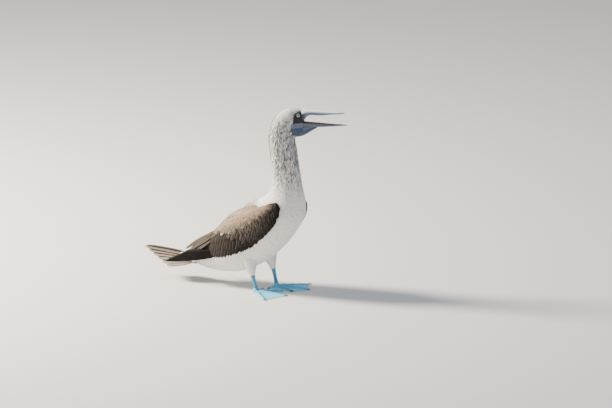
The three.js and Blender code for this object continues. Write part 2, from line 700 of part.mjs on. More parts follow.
function addTail() {
  const rings = trunkLength(0, 0.01, 1).slice(0, 1);
  const back = facing(0).multiplyScalar(-GAP);
  rings[0].forEach((p) => p.add(back));
  for (const [x, z, half, thick] of RUMP) {
    const ring = [];
    for (let j = 0; j < AROUND; j += 1) {
      const a = (2 * Math.PI * (j + 0.5)) / AROUND;
      ring.push(v3(x, half * Math.sin(a), z + thick * Math.cos(a)));
    }
    rings.push(ring);
  }
  rings.push([v3(RUMP_END[0], 0, RUMP_END[1])]);
  const pieces = [solid(loft(rings))];
  for (const side of [-1, 1]) {
    for (let k = 0; k < TAIL_PAIRS; k += 1) {
      const u = k / (TAIL_PAIRS - 1);
      const ends = [TAIL.root, TAIL.tip].map(([inner, outer]) => {
        const [x, y, z] = inner.map((value, i) => mix(value, outer[i], u));
        return v3(x, side * y, z - TAIL.under * k - (side > 0 ? 0.5 * TAIL.under : 0));
      });
      const slope = THREE.MathUtils.degToRad(mix(...TAIL.slope, u));
      const face = v3(0, side * Math.sin(slope), Math.cos(slope));
      pieces.push(freeVane(ends[0], ends[1], face, { ...TAIL, tilt: 0, outline: BLUNT }));
    }
  }
  for (let i = 0; i < TAIL_COVERTS.count; i += 1) {
    const u = i / (TAIL_COVERTS.count - 1);
    const y = mix(-1, 1, u);
    for (const [level, face] of [['above', 1], ['below', -1]]) {
      const { root, tip } = TAIL_COVERTS[level];
      const drop = 9 * y * y * face;
      const from = v3(root[0], 9 * y, root[1] - drop * 0.6);
      const to = v3(tip[0] + 12 * Math.abs(y), 15 * y, tip[1] - drop);
      const flat = { ...TAIL_COVERTS, tilt: 0, outline: ROUNDED, bow: 2 };
      pieces.push(freeVane(from, to, v3(0, 0.8 * y, face), flat));
    }
  }
  const clear = trunkLength(0, 0.4, 2);
  clear[0].forEach((p) => p.addScaledVector(back, 1));
  addNode('tail', join(pieces).subtract(solid(loft(clear))), COLOURS.tail);
}

addTorso();
addNeck();
addHead();
addBeak();
FLANKS.forEach(addWing);
addTail();
LEGS.forEach(addLeg);

const box = new THREE.Box3().setFromObject(part);
part.position.set(-(box.min.x + box.max.x) / 2, -(box.min.y + box.max.y) / 2, -box.min.z);

export default part;
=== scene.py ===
"""Looks for a standing blue-footed booby: skin, plumage, wings, tail, bill, eyes and webbed feet.

Shapes are worked out in millimetres in the bird's own frame (it faces +X, its left side is +Y, soles at
z = 0) and are moved into the row frame, in metres, as they are put into meshes.
"""

import math

import bpy
import numpy as np
from mathutils import Matrix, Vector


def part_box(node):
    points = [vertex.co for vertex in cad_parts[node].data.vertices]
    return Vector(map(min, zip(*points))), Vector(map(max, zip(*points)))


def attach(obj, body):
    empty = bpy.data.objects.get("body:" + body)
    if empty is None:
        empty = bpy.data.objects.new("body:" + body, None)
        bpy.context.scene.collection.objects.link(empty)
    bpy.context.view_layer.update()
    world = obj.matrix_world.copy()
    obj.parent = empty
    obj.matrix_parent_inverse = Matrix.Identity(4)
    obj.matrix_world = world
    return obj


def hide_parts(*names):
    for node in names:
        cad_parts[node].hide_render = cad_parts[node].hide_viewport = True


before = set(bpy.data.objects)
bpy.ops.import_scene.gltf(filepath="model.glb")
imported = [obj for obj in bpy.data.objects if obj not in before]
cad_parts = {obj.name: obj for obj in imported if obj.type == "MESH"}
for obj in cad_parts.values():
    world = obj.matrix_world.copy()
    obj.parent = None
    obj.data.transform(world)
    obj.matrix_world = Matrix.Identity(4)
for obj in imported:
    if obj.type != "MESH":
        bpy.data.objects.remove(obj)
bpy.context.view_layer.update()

bl_info = {
    "name": "Blue-footed booby",
    "version": (1, 0, 0),
    "blender": (4, 5, 0),
    "location": "3D View > Sidebar > Booby",
    "description": "Builds the plumage, bare skin, bill, eyes and feet of a life-size seabird",
    "category": "Add Mesh",
}

MM = 0.001

# The bird's own frame against the row frame, from the tail's tip and the left shank's outer side.
TAIL_TIP_X = -349.0
SHANK_SIDE_Y = 41.2
SHIFT = np.array([
    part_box("tail")[0].x / MM - TAIL_TIP_X,
    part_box("shank_left")[1].y / MM - SHANK_SIDE_Y,
    0.0,
])

# Cross-sections from the tail root to the bill: back line x, z; belly line x, z; half the width.
SECTIONS = np.array([
    [-197, 80, -188, 46, 19], [-168, 111, -150, 39, 32], [-132, 150, -105, 38, 45],
    [-95, 190, -55, 47, 55], [-62, 215, 0, 76, 60], [-38, 230, 45, 115, 62],
    [-16, 239, 81, 160, 61], [2, 249, 102.5, 200, 56], [14, 262, 106, 235, 47],
    [22.5, 284, 99.5, 272, 38], [22.5, 311, 94, 305, 34.5], [19, 344, 88, 340, 33],
    [15, 374, 83.5, 371, 32.5], [12.5, 401, 80, 391, 32], [15.5, 426, 79, 402, 30],
    [24, 452, 81, 406.5, 27.5], [41, 470.5, 86.5, 407.5, 25.5], [60, 479.5, 92.5, 408.5, 22.5],
    [78, 481.5, 97.5, 410, 18.5], [101, 478.5, 101, 411, 13.5],
])
FULLNESS = 2.25
BILL_ROOT = len(SECTIONS) - 1

# The head's turn to the left: angle, the upright axis it turns about, and the heights it grows between.
TURN_ANGLE = math.radians(20)
TURN_X = 50.0
TURN_FROM, TURN_TO = 270.0, 400.0

# Eye: its centre in the side view, the ball's radius, and how far it stands out of the cheek.
EYE_X, EYE_Z, EYE_BALL, EYE_OUT = 88.3, 465.5, 7.0, 2.4
# Gape line on the cheek: from the corner of the mouth to the bill (x, z).
GAPE = ((76.0, 446.3), (101.5, 448.4))


# Numbers


def smooth(value, low, high):
    """Smooth step: 0 below low, 1 above high, 3x^2 - 2x^3 between."""
    x = np.clip((value - low) / (high - low), 0, 1)
    return x * x * (3 - 2 * x)


def hump(value, middle, width):
    """Bell: e to the minus square of the distance from the middle over the width."""
    return np.exp(-(((value - middle) / width) ** 2))


def unit(vectors):
    """Each vector over its own length."""
    return vectors / np.maximum(np.linalg.norm(vectors, axis=-1, keepdims=True), 1e-9)


def linear(colour):
    """sRGB hex to linear red, green, blue, alpha."""
    values = [int(colour[i:i + 2], 16) / 255 for i in (1, 3, 5)]
    return tuple(v / 12.92 if v <= 0.04045 else ((v + 0.055) / 1.055) ** 2.4 for v in values) + (1.0,)


def tint(colour):
    """A hex colour as a linear row of three."""
    return np.array(linear(colour)[:3])


def blend(first, second, share):
    """First colour where the share is 0 and second where it is 1."""
    share = np.clip(np.asarray(share, float), 0, 1)[..., None]
    return first * (1 - share) + second * share


def grid(first, second):
    """Two rows of values as a grid: the first runs down it and the second across."""
    return np.meshgrid(first, second, indexing="ij")


def turn(count, full=2 * np.pi):
    """Places evenly round one full turn. The last would be the first again, and is left out."""
    return np.linspace(0, full, count, endpoint=False)


def catmull(keys, t):
    """Curve through keys: between keys i and i + 1 a cubic whose slope at each key is half the chord of
    the key's neighbours, with a mirrored neighbour past each end."""
    keys = np.asarray(keys, float)
    ends = np.vstack([2 * keys[:1] - keys[1:2], keys, 2 * keys[-1:] - keys[-2:-1]])
    t = np.clip(t, 0, len(keys) - 1)
    i = np.minimum(t.astype(int), len(keys) - 2)
    f = (t - i)[..., None]
    p0, p1, p2, p3 = ends[i], ends[i + 1], ends[i + 2], ends[i + 3]
    v1, v2 = (p2 - p0) / 2, (p3 - p1) / 2
    return (2 * p1 - 2 * p2 + v1 + v2) * f ** 3 + (3 * p2 - 3 * p1 - 2 * v1 - v2) * f ** 2 + v1 * f + p1


# The bird's surfaces


def turned(points):
    """The head's turn: about the upright axis by the turn's angle times a smooth step of the height."""
    a = TURN_ANGLE * smooth(points[..., 2], TURN_FROM, TURN_TO)
    x, y = points[..., 0] - TURN_X, points[..., 1]
    ahead, aside = x * np.cos(a) - y * np.sin(a), x * np.sin(a) + y * np.cos(a)
    return np.stack([TURN_X + ahead, aside, points[..., 2]], -1)


def trunk(t, angle):
    """Outline of head, neck and body: section t is a superellipse, |y/half|^n + |rise/height|^n = 1,
    in the plane of its back point and belly point. The angle is 0 on the back and 90 on the left."""
    section = catmull(SECTIONS, t)
    back, belly, half = section[..., 0:2], section[..., 2:4], section[..., 4]
    a = np.radians(angle)
    up, out = (np.sign(v) * np.abs(v) ** (2 / FULLNESS) for v in (np.cos(a), np.sin(a)))
    side = (back + belly) / 2 + (back - belly) / 2 * up[..., None]
    return np.stack([side[..., 0], half * out, side[..., 1]], -1)


def with_normal(surface, p, q, step_p=0.02, step_q=1.0):
    """Points of a surface and their outward normals: the cross product of its two central differences."""
    lengthwise = surface(p + step_p, q) - surface(p - step_p, q)
    around = surface(p, q + step_q) - surface(p, q - step_q)
    return surface(p, q), unit(np.cross(lengthwise, around))


def over(surface, p, q, height):
    """Points at a height over a surface, along its normals."""
    points, normals = with_normal(surface, p, q)
    return points + normals * np.asarray(height)[..., None]


# Folded wing: upper and lower edge as angles from the back line, and padding, along the sections, and
# the sections where it begins behind and ends at the wrist.
WING_TOP = ((0.5, 1.5, 2.4, 3.7, 5.65, 7.36, 7.8), (18, 15, 19, 33, 45, 70, 86))
WING_LOW = ((0.5, 0.95, 1.9, 3.0, 4.4, 6.0, 7.0, 7.5, 7.8), (74, 80, 98, 105, 108, 107, 103, 99, 88))
WING_THICK = ((0.5, 2, 4, 6.5, 7.4, 7.8), (2, 3.2, 4.6, 5, 4.5, 1.5))
WING_REAR, WING_WRIST = 0.5, 7.8
# Height of the wing's thin edges over the trunk, and the angle where the wing's lower edge is widest.
WING_EDGE = 0.8
WING_LOWEST = 105
# Each wing's side, how much further round the breast its front edge reaches, and how far it stands off.
FLANKS = {"right": (-1, 0.0, 2.5), "left": (1, 23.0, 8.0)}


def wing_share(t, angle):
    """Where an angle lies between the wing's upper edge, 0, and its lower edge, 1."""
    top, low = np.interp(t, *WING_TOP), np.interp(t, *WING_LOW)
    return (angle - top) / (low - top)


def wing_surface(side):
    """The wing's face over the trunk, for angles signed as the trunk's: a padded bow between the edges,
    square root of the sine of pi times the share, and a front edge that stands off the breast."""
    sign, _, stand = FLANKS[side]

    def surface(t, angle):
        a = np.abs(angle)
        share = np.clip(wing_share(t, a), 0, 1)
        bow = (np.interp(t, *WING_THICK) - WING_EDGE) * np.sqrt(np.maximum(np.sin(np.pi * share), 0))
        height = WING_EDGE + bow + stand * smooth(t, 4, 6.5) * smooth(a, 50, 90)
        return over(trunk, t, sign * (a + wing_reach(side, t, a)), height)

    return surface


def wing_reach(side, t, angle):
    """How much further round than its angle a wing lies: nothing behind, growing toward the breast."""
    return FLANKS[side][1] * smooth(t, 3.5, 6.5) * angle / WING_LOWEST


def cheek(x, z):
    """Half the head's width where the side view shows x, z: the nearest point of a fine grid."""
    points = trunk(*grid(np.linspace(15, BILL_ROOT - 0.05, 80), np.linspace(20, 160, 141)))
    return points[..., 1].flat[np.argmin(np.hypot(points[..., 0] - x, points[..., 2] - z))]


# Where the bare face begins: at each height, the feathers' last place forward.
FACE_HEIGHTS = (402, 406, 409, 414, 422, 430, 437, 446, 452, 461, 468, 473, 476.5, 479, 483)
FACE_LIMITS = (200, 110, 87, 79, 74, 72, 73, 76, 79, 78.5, 79.5, 84, 91, 99, 108)
FACE_EDGE = 1.2


def bare_share(points):
    """1 on the bare face, 0 on feathers: forward of a line behind the eye and the throat skin."""
    past = points[..., 0] - np.interp(points[..., 2], FACE_HEIGHTS, FACE_LIMITS)
    return smooth(past, -FACE_EDGE, FACE_EDGE)


def above_gape(points):
    """Height over the gape line."""
    (x_from, z_from), (x_to, z_to) = GAPE
    return points[..., 2] - np.interp(points[..., 0], [x_from, x_to], [z_from, z_to])


# Meshes


def put_mesh(name, form, material, slot, nodes=(), maps=None, smoothed=True, normals=None):
    """Puts a form, which is points, quads, triangles and the points' colours, into one mesh object of the
    scene, in the row frame, and ties it to the body. Given normals shade the smooth faces, and turned
    round they shade the others."""
    points, quads, triangles, colours = form
    mesh = bpy.data.meshes.new(name)
    mesh.vertices.add(len(points))
    mesh.vertices.foreach_set("co", ((points + SHIFT) * MM).astype(np.float32).ravel())
    loops = np.concatenate([quads.ravel(), triangles.ravel()]).astype(np.int32)
    mesh.loops.add(len(loops))
    mesh.loops.foreach_set("vertex_index", loops)
    starts = np.concatenate([np.arange(len(quads)) * 4, quads.size + np.arange(len(triangles)) * 3])
    mesh.polygons.add(len(starts))
    mesh.polygons.foreach_set("loop_start", starts.astype(np.int32))
    mesh.polygons.foreach_set("use_smooth", np.broadcast_to(smoothed, len(starts)).copy())
    if colours is not None:
        layer = mesh.attributes.new("Tone", "FLOAT_COLOR", "POINT")
        layer.data.foreach_set("color", np.c_[colours, np.ones(len(colours))].astype(np.float32).ravel())
    for label, pairs in (maps or {}).items():
        mesh.uv_layers.new(name=label).data.foreach_set("uv", pairs[loops].astype(np.float32).ravel())
    mesh.update(calc_edges=True)
    if mesh.validate():
        raise RuntimeError(name + ": faces that can't stand were taken out")
    if normals is not None:
        corners = np.repeat((4, 3), (len(quads), len(triangles)))
        facing = np.repeat(np.where(smoothed, 1.0, -1.0), corners)
        mesh.normals_split_custom_set((normals[loops] * facing[:, None]).tolist())
    mesh.materials.append(material)
    piece = bpy.data.objects.new(name, mesh)
    bpy.context.scene.collection.objects.link(piece)
    if slot:
        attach(piece, "root")
        if nodes:
            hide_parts(*nodes)
    return piece


def barb_map(form, axes):
    """The map Barbs of a plain form: two of its points' coordinates in metres."""
    return {"Barbs": form[0][:, axes] * MM}


def inside_out(points, quads):
    """Whether a closed skin's quads face inward, by the sign of the volume that they enclose."""
    a, b, c, d = (points[quads[:, corner]] for corner in range(4))
    return np.einsum("ij,ij", a, np.cross(b, c)) + np.einsum("ij,ij", a, np.cross(c, d)) < 0


def shell(rings, colours=None):
    """Closed skin through rings (m, n, 3), closed round n, with a middle point over each end ring."""
    m, n = rings.shape[:2]
    points = np.vstack([rings.reshape(-1, 3), rings[0].mean(0), rings[-1].mean(0)])
    k, j = grid(np.arange(m - 1), np.arange(n))
    i = (j + 1) % n
    quads = np.stack([k * n + j, k * n + i, (k + 1) * n + i, (k + 1) * n + j], -1).reshape(-1, 4)
    j = np.arange(n)
    i = (j + 1) % n
    first = np.stack([i, j, np.full(n, m * n)], -1)
    last = np.stack([(m - 1) * n + j, (m - 1) * n + i, np.full(n, m * n + 1)], -1)
    triangles = np.vstack([first, last])
    if inside_out(points, quads):
        quads, triangles = quads[:, ::-1], triangles[:, ::-1]
    if colours is not None:
        colours = np.broadcast_to(colours, (m, n, 3))
        colours = np.vstack([colours.reshape(-1, 3), colours[0].mean(0), colours[-1].mean(0)])
    return points, quads, triangles, colours


def closed_ring(rings, colour):
    """A torus-like skin, closed in both directions, with no end points."""
    m, n = rings.shape[:2]
    k, j = grid(np.arange(m), np.arange(n))
    after, i = (k + 1) % m, (j + 1) % n
    quads = np.stack([k * n + j, k * n + i, after * n + i, after * n + j], -1).reshape(-1, 4)
    points = rings.reshape(-1, 3)
    if inside_out(points - points.mean(0), quads):
        quads = quads[:, ::-1]
    return points, quads, np.zeros((0, 3), int), np.broadcast_to(colour, (m * n, 3))


def gathered(forms):
    """Several forms as one: indices grow by the points that come before."""
    counts = np.cumsum([0] + [len(form[0]) for form in forms])
    quads, triangles = (np.vstack([form[i] + at for form, at in zip(forms, counts)]) for i in (1, 2))
    points, colours = (np.vstack([form[i] for form in forms]) for i in (0, 3))
    return points, quads, triangles, colours


# Feathers

# Outlines: share of the length from root to tip, and the half width there.
CONTOUR = ((0, 0.2, 0.55, 0.8, 0.93, 1), (0.4, 0.8, 1, 0.84, 0.55, 0))
LANCE = ((0, 0.3, 0.6, 0.85, 1), (0.6, 1, 0.85, 0.45, 0))
ROUND_TIP = ((0, 0.15, 0.5, 0.85, 0.95, 1), (0.35, 0.75, 1, 0.9, 0.6, 0))
FLIGHT = ((0, 0.05, 0.3, 0.7, 0.9, 0.97, 1), (0.25, 0.6, 1, 0.9, 0.6, 0.3, 0))
BLUNT = ((0, 0.06, 0.35, 0.8, 0.94, 0.985, 1), (0.3, 0.6, 1, 0.95, 0.72, 0.4, 0))

# Stations along a feather and columns across it, which are denser at the tip and beside the shaft.
SMALL_STATIONS = np.array([0, 0.35, 0.7, 0.92, 1.0])
LANCE_STATIONS = np.array([0, 0.4, 0.75, 1.0])
LONG_STATIONS = np.array([0, 0.05, 0.14, 0.26, 0.4, 0.55, 0.7, 0.82, 0.91, 0.97, 1.0])
THREE = np.array([-1.0, 0.0, 1.0])
FIVE = np.array([-1.0, -0.45, 0.0, 0.45, 1.0])
SEVEN = np.array([-1.0, -0.6, -0.1, 0.0, 0.1, 0.6, 1.0])

# Steps of the row that spreads places evenly: one over the plastic number, and one over its square.
EVEN_STEPS = (0.754877666, 0.569840296)


def scatter(surface, p_range, q_range, spacing, weight=None, offset=0.5):
    """Places spread evenly over a surface: a two-number quasi-random row, whose steps leave no lumps,
    mapped through the running sums of the surface's area times the weight."""
    p, q = np.linspace(*p_range, 161), np.linspace(*q_range, 181)
    points = surface(*grid(p, q))
    along, across = points[1:, :-1] - points[:-1, :-1], points[:-1, 1:] - points[:-1, :-1]
    area = np.linalg.norm(np.cross(along, across), axis=-1)
    if weight is not None:
        area = area * weight(*grid((p[1:] + p[:-1]) / 2, (q[1:] + q[:-1]) / 2))
    area = area + 1e-12
    n = np.arange(int(area.sum() / spacing ** 2))
    u, v = ((offset + n * step) % 1 for step in EVEN_STEPS)
    rows = np.concatenate([[0], np.cumsum(area.sum(1))]) / area.sum()
    i = np.clip(np.searchsorted(rows, u, side="right") - 1, 0, len(p) - 2)
    cells = np.hstack([np.zeros((len(p) - 1, 1)), np.cumsum(area, 1)]) / area.sum(1, keepdims=True)
    j = np.clip((cells[i, 1:] < v[:, None]).sum(1), 0, len(q) - 2)
    p_at = p[i] + (u - rows[i]) / (rows[i + 1] - rows[i]) * (p[1] - p[0])
    q_at = q[j] + np.clip((v - cells[i, j]) / (cells[i, j + 1] - cells[i, j]), 0, 1) * (q[1] - q[0])
    return p_at, q_at


def laid(surface, root, tip, heights, stations, rise=0.7):
    """Spines that lie on a surface: straight in its two coordinates from root to tip, and going from the
    root's height to the tip's as s to the power of the rise. Gives spines and the surface's normals."""
    p = root[0][:, None] + (tip[0] - root[0])[:, None] * stations
    q = root[1][:, None] + (tip[1] - root[1])[:, None] * stations
    points, normals = with_normal(surface, p, q)
    low, high = (np.broadcast_to(h, len(root[0]))[:, None] for h in heights)
    return points + normals * (low + (high - low) * stations ** rise)[..., None], normals


# A vane's root reaches back past its first station by this share of its width. Barbs slant by this much
# along the shaft for each step across. The patch is a vane's size on the skin's own unwrap.
ROOT_OVERHANG = 0.3
BARB_SLANT = 0.9
BAKE_PATCH = 0.003
BAKE_MARGIN = 0.002


def vane_faces(m, n):
    """Faces of one vane whose n points go round at m stations, with a root point m n and a tip point
    m n + 1: quads between the stations, and a fan of triangles at each end."""
    k, j = grid(np.arange(m - 1), np.arange(n))
    i = (j + 1) % n
    quads = np.stack([k * n + j, (k + 1) * n + j, (k + 1) * n + i, k * n + i], -1).reshape(-1, 4)
    j = np.arange(n)
    i = (j + 1) % n
    first = np.stack([j, i, np.full(n, m * n)], -1)
    last = np.stack([(m - 1) * n + i, (m - 1) * n + j, np.full(n, m * n + 1)], -1)
    return quads, np.vstack([first, last])


def vanes(name, spine, up, half, outline, stations, columns, paint, bake, material, slot,
          thick=0.3, camber=0.15, tilt=0.0, shaft=0.0, soft=0.0):
    """Feathers as thin closed vanes in one mesh. At share s of its length a vane is half x outline(s) to
    each side of its spine. Across it, c from -1 to 1, it drops by camber x c^2 and rises by tilt x c of
    that half width, and its underside lies thick x (1 - c^2) below. A shaft raises c = 0. The tip is a
    point. The upper side is shaded smooth and the underside flat, so that the edge stays crisp. Where
    plumage is soft, its shading leans by that share from the vane's face to the surface it lies on. The
    map Barbs has metres across, and metres along less a slant of those across, which runs like the
    barbs. OFBake is a small patch at the root's place on the skin."""
    count = len(spine)
    half = np.broadcast_to(half, count)
    top, under = columns, columns[::-1][1:-1]
    c = np.concatenate([top, under])
    below = np.concatenate([np.zeros(len(top)), 1 - under ** 2])
    ahead = unit(np.gradient(spine, axis=1))
    across = unit(np.cross(ahead, up))
    face = np.cross(across, ahead)
    reach = half[:, None] * np.interp(stations[:-1], *outline)
    rise = reach[..., None] * (tilt * c - camber * c ** 2) - thick * below
    rise = rise + shaft * (np.abs(c) < 0.01) * np.where(below > 0, -1, 1)
    rings = spine[:, :-1, None] + across[:, :-1, None] * (reach[..., None] * c)[..., None]
    rings = rings + face[:, :-1, None] * rise[..., None]
    m, n = len(stations) - 1, len(c)
    root = spine[:, :1] - ROOT_OVERHANG * reach[:, :1, None] * ahead[:, :1]
    points = np.concatenate([rings.reshape(count, -1, 3), root, spine[:, -1:]], 1)
    quads, triangles = vane_faces(m, n)
    if inside_out(points[0], quads):
        quads, triangles = quads[:, ::-1], triangles[:, ::-1]
    on_top = np.arange(n) < len(top) - 1
    upper = np.concatenate([np.tile(on_top, count * (m - 1)), np.tile(on_top, 2 * count)])
    s_all = np.concatenate([np.repeat(stations[:-1], n), [0, 1]])
    c_all = np.concatenate([np.tile(c, m), [0, 0]])
    colours = np.broadcast_to(paint(s_all[None], c_all[None]), (count, len(s_all), 3))
    length = np.linalg.norm(np.diff(spine, axis=1), axis=-1).sum(1)[:, None]
    sideways = half[:, None] * np.interp(s_all, *outline) * c_all * MM
    barbs = np.stack([sideways, length * s_all * MM - BARB_SLANT * np.abs(sideways)], -1)
    patch = np.stack([
        bake[0][:, None] + BAKE_PATCH / 2 * c_all,
        bake[1][:, None] + BAKE_PATCH * (s_all - 0.5),
    ], -1)
    patch = np.clip(patch, BAKE_MARGIN, 1 - BAKE_MARGIN)
    grow = (np.arange(count) * len(s_all))[:, None, None]
    form = (points.reshape(-1, 3), (quads + grow).reshape(-1, 4), (triangles + grow).reshape(-1, 3),
            colours.reshape(-1, 3))
    normals = None
    if soft:
        lean = unit(soft * up + (1 - soft) * face)
        normals = np.concatenate([np.repeat(lean[:, :-1], n, axis=1), lean[:, :1], lean[:, -1:]], 1)
        normals = normals.reshape(-1, 3)
    maps = {"Barbs": barbs.reshape(-1, 2), "OFBake": patch.reshape(-1, 2)}
    return put_mesh(name, form, material, slot, (), maps, upper, normals)


def unwrapped(t, angle):
    """Place on the body's own unwrap: once round across, tail root to bill upward."""
    return 0.5 + angle / 370, 0.02 + 0.96 * t / BILL_ROOT


# Materials


def add(tree, kind, links=None, **settings):
    """Adds a node. Settings are its properties; links give a socket's value or (node, output)."""
    made = tree.nodes.new(kind)
    for key, value in settings.items():
        setattr(made, key, value)
    for socket, value in (links or {}).items():
        if isinstance(value, tuple) and isinstance(value[0], bpy.types.Node):
            tree.links.new(value[0].outputs[value[1]], made.inputs[socket])
        else:
            made.inputs[socket].default_value = value
    return made


def fresh(name):
    """A new material with an empty node tree, and its output node."""
    material = bpy.data.materials.new(name)
    material.use_nodes = True
    material.node_tree.nodes.clear()
    return material, material.node_tree, material.node_tree.nodes.new("ShaderNodeOutputMaterial")


def per_metre(size_mm):
    """Noise or Voronoi scale whose cells have a size in millimetres."""
    return 1 / (size_mm * MM)


# Nearly all of a noise lies between these values.
NOISE_SPAN = {"From Min": 0.3, "From Max": 0.7}


def toned(tree, output, share, height, depth_mm, strength, finish):
    """Ends a finish: the surface's own Tone times a share, relief of a depth from a height, the shader."""
    tone = add(tree, "ShaderNodeAttribute", attribute_name="Tone")
    shaded = add(tree, "ShaderNodeVectorMath", {0: (tone, "Color"), "Scale": share}, operation="SCALE")
    relief = add(tree, "ShaderNodeBump", {
        "Height": height, "Distance": depth_mm * MM, "Strength": strength,
    })
    shader = add(tree, "ShaderNodeBsdfPrincipled", {
        "Base Color": (shaded, "Vector"), "Normal": (relief, "Normal"), **finish,
    })
    tree.links.new(shader.outputs["BSDF"], output.inputs["Surface"])


# Cloudy patches in plumage, the length of a barb's streak, and patches in bare skin.
CLOUD_MM = 7
BARB_LONG_MM = 12
SKIN_PATCH_MM = 9


def plumage(name, barb_mm, roughness, sheen, relief_mm, mottle=0.12):
    """Feather keratin: matt, a little sheen from the loose barbs, colour from the vane's own Tone with a
    fine mottle, and barbs as slanted lines: noise stretched along them and fine across them."""
    material, tree, output = fresh(name)
    lies = add(tree, "ShaderNodeUVMap", uv_map="Barbs")
    place = add(tree, "ShaderNodeTexCoord")
    cloudy = add(tree, "ShaderNodeTexNoise", {
        "Vector": (place, "Object"), "Scale": per_metre(CLOUD_MM), "Detail": 4.0, "Roughness": 0.6,
    })
    along = add(tree, "ShaderNodeMapping", {
        "Vector": (lies, "UV"), "Scale": (per_metre(BARB_LONG_MM), per_metre(barb_mm), 1.0),
    })
    barbs = add(tree, "ShaderNodeTexNoise", {"Vector": (along, "Vector"), "Scale": 1.0, "Detail": 2.0})
    clouds, streaks = (add(tree, "ShaderNodeMapRange", {
        **NOISE_SPAN, "Value": (noise, "Fac"), "To Min": 1 - mottle, "To Max": 1 + mottle / 2,
    }) for noise in (cloudy, barbs))
    share = add(tree, "ShaderNodeMath", {
        0: (clouds, "Result"), 1: (streaks, "Result"),
    }, operation="MULTIPLY")
    toned(tree, output, (share, "Value"), (barbs, "Fac"), relief_mm, 0.6, {
        "Roughness": roughness, "Sheen Weight": sheen, "Sheen Roughness": 0.5, "Specular IOR Level": 0.15,
    })
    return material


def skinlike(name, roughness, cell_mm, cell_depth_mm, coat=0.0, fine_mm=1.2, mottle=0.15):
    """Bare skin coloured by the surface's own Tone: plates or pores from a Voronoi pattern of the real
    cell size, and a finer grain between them."""
    material, tree, output = fresh(name)
    place = add(tree, "ShaderNodeTexCoord")
    cells = add(tree, "ShaderNodeTexVoronoi", {
        "Vector": (place, "Object"), "Scale": per_metre(cell_mm), "Randomness": 0.85,
    }, feature="DISTANCE_TO_EDGE")
    plates = add(tree, "ShaderNodeMapRange", {
        "Value": (cells, "Distance"), "From Min": 0.0, "From Max": 0.16, "To Min": 0.0, "To Max": 1.0,
    }, interpolation_type="SMOOTHSTEP")
    grain, patches = (add(tree, "ShaderNodeTexNoise", {
        "Vector": (place, "Object"), "Scale": per_metre(size), "Detail": 3.0,
    }) for size in (fine_mm, SKIN_PATCH_MM))
    height = add(tree, "ShaderNodeMath", {
        0: (grain, "Fac"), 1: 0.35, 2: (plates, "Result"),
    }, operation="MULTIPLY_ADD")
    lighter = add(tree, "ShaderNodeMapRange", {
        **NOISE_SPAN, "Value": (patches, "Fac"), "To Min": 1 - mottle, "To Max": 1 + mottle,
    })
    creased = add(tree, "ShaderNodeMapRange", {
        "Value": (plates, "Result"), "From Min": 0.0, "From Max": 1.0, "To Min": 1 - mottle, "To Max": 1.0,
    })
    share = add(tree, "ShaderNodeMath", {
        0: (lighter, "Result"), 1: (creased, "Result"),
    }, operation="MULTIPLY")
    toned(tree, output, (share, "Value"), (height, "Value"), cell_depth_mm, 0.7, {
        "Roughness": roughness, "Coat Weight": coat, "Coat Roughness": 0.25,
    })
    return material


def horn(name, roughness, streak_mm, relief_mm):
    """Keratin horn grown in layers: low gloss, coloured by its own Tone, with long faint streaks along
    the growth, which a Mapping node stretches, and fine scratches in the relief."""
    material, tree, output = fresh(name)
    place = add(tree, "ShaderNodeTexCoord")
    stretched = add(tree, "ShaderNodeMapping", {
        "Vector": (place, "Object"), "Scale": (0.12, 0.5, 1.0), "Rotation": (0.0, 0.0, -TURN_ANGLE),
    })
    streaks = add(tree, "ShaderNodeTexNoise", {
        "Vector": (stretched, "Vector"), "Scale": per_metre(streak_mm), "Detail": 5.0, "Roughness": 0.65,
    })
    lighter = add(tree, "ShaderNodeMapRange", {
        **NOISE_SPAN, "Value": (streaks, "Fac"), "To Min": 0.78, "To Max": 1.12,
    })
    toned(tree, output, (lighter, "Result"), (streaks, "Fac"), relief_mm, 0.6, {"Roughness": roughness})
    return material


def wet_eye():
    """Cornea and iris together: coloured by its own Tone under a clear, wet, mirror-like coat."""
    material, tree, output = fresh("Wet eye")
    tone = add(tree, "ShaderNodeAttribute", attribute_name="Tone")
    shader = add(tree, "ShaderNodeBsdfPrincipled", {
        "Base Color": (tone, "Color"), "Roughness": 0.2, "Coat Weight": 1.0, "Coat Roughness": 0.02,
        "Coat IOR": 1.376,
    })
    tree.links.new(shader.outputs["BSDF"], output.inputs["Surface"])
    return material


def matt_floor(colour):
    """Matt paint: one pale colour with a very faint roller texture of 3 mm."""
    material, tree, output = fresh("Matt floor paint")
    place = add(tree, "ShaderNodeTexCoord")
    stipple = add(tree, "ShaderNodeTexNoise", {
        "Vector": (place, "Object"), "Scale": per_metre(3), "Detail": 2.0,
    })
    relief = add(tree, "ShaderNodeBump", {
        "Height": (stipple, "Fac"), "Distance": 0.1 * MM, "Strength": 0.3,
    })
    shader = add(tree, "ShaderNodeBsdfPrincipled", {
        "Base Color": colour, "Roughness": 0.9, "Normal": (relief, "Normal"),
    })
    tree.links.new(shader.outputs["BSDF"], output.inputs["Surface"])
    return material


# What a user would change


def colour_property(name, description, default):
    return bpy.props.FloatVectorProperty(
        name=name, description=description, default=linear(default)[:3], subtype="COLOR", size=3,
        min=0, max=1)


def length_property(name, description, default_mm):
    return bpy.props.FloatProperty(
        name=name, description=description, default=default_mm * MM, min=0.0, unit="LENGTH",
        subtype="DISTANCE", precision=4)


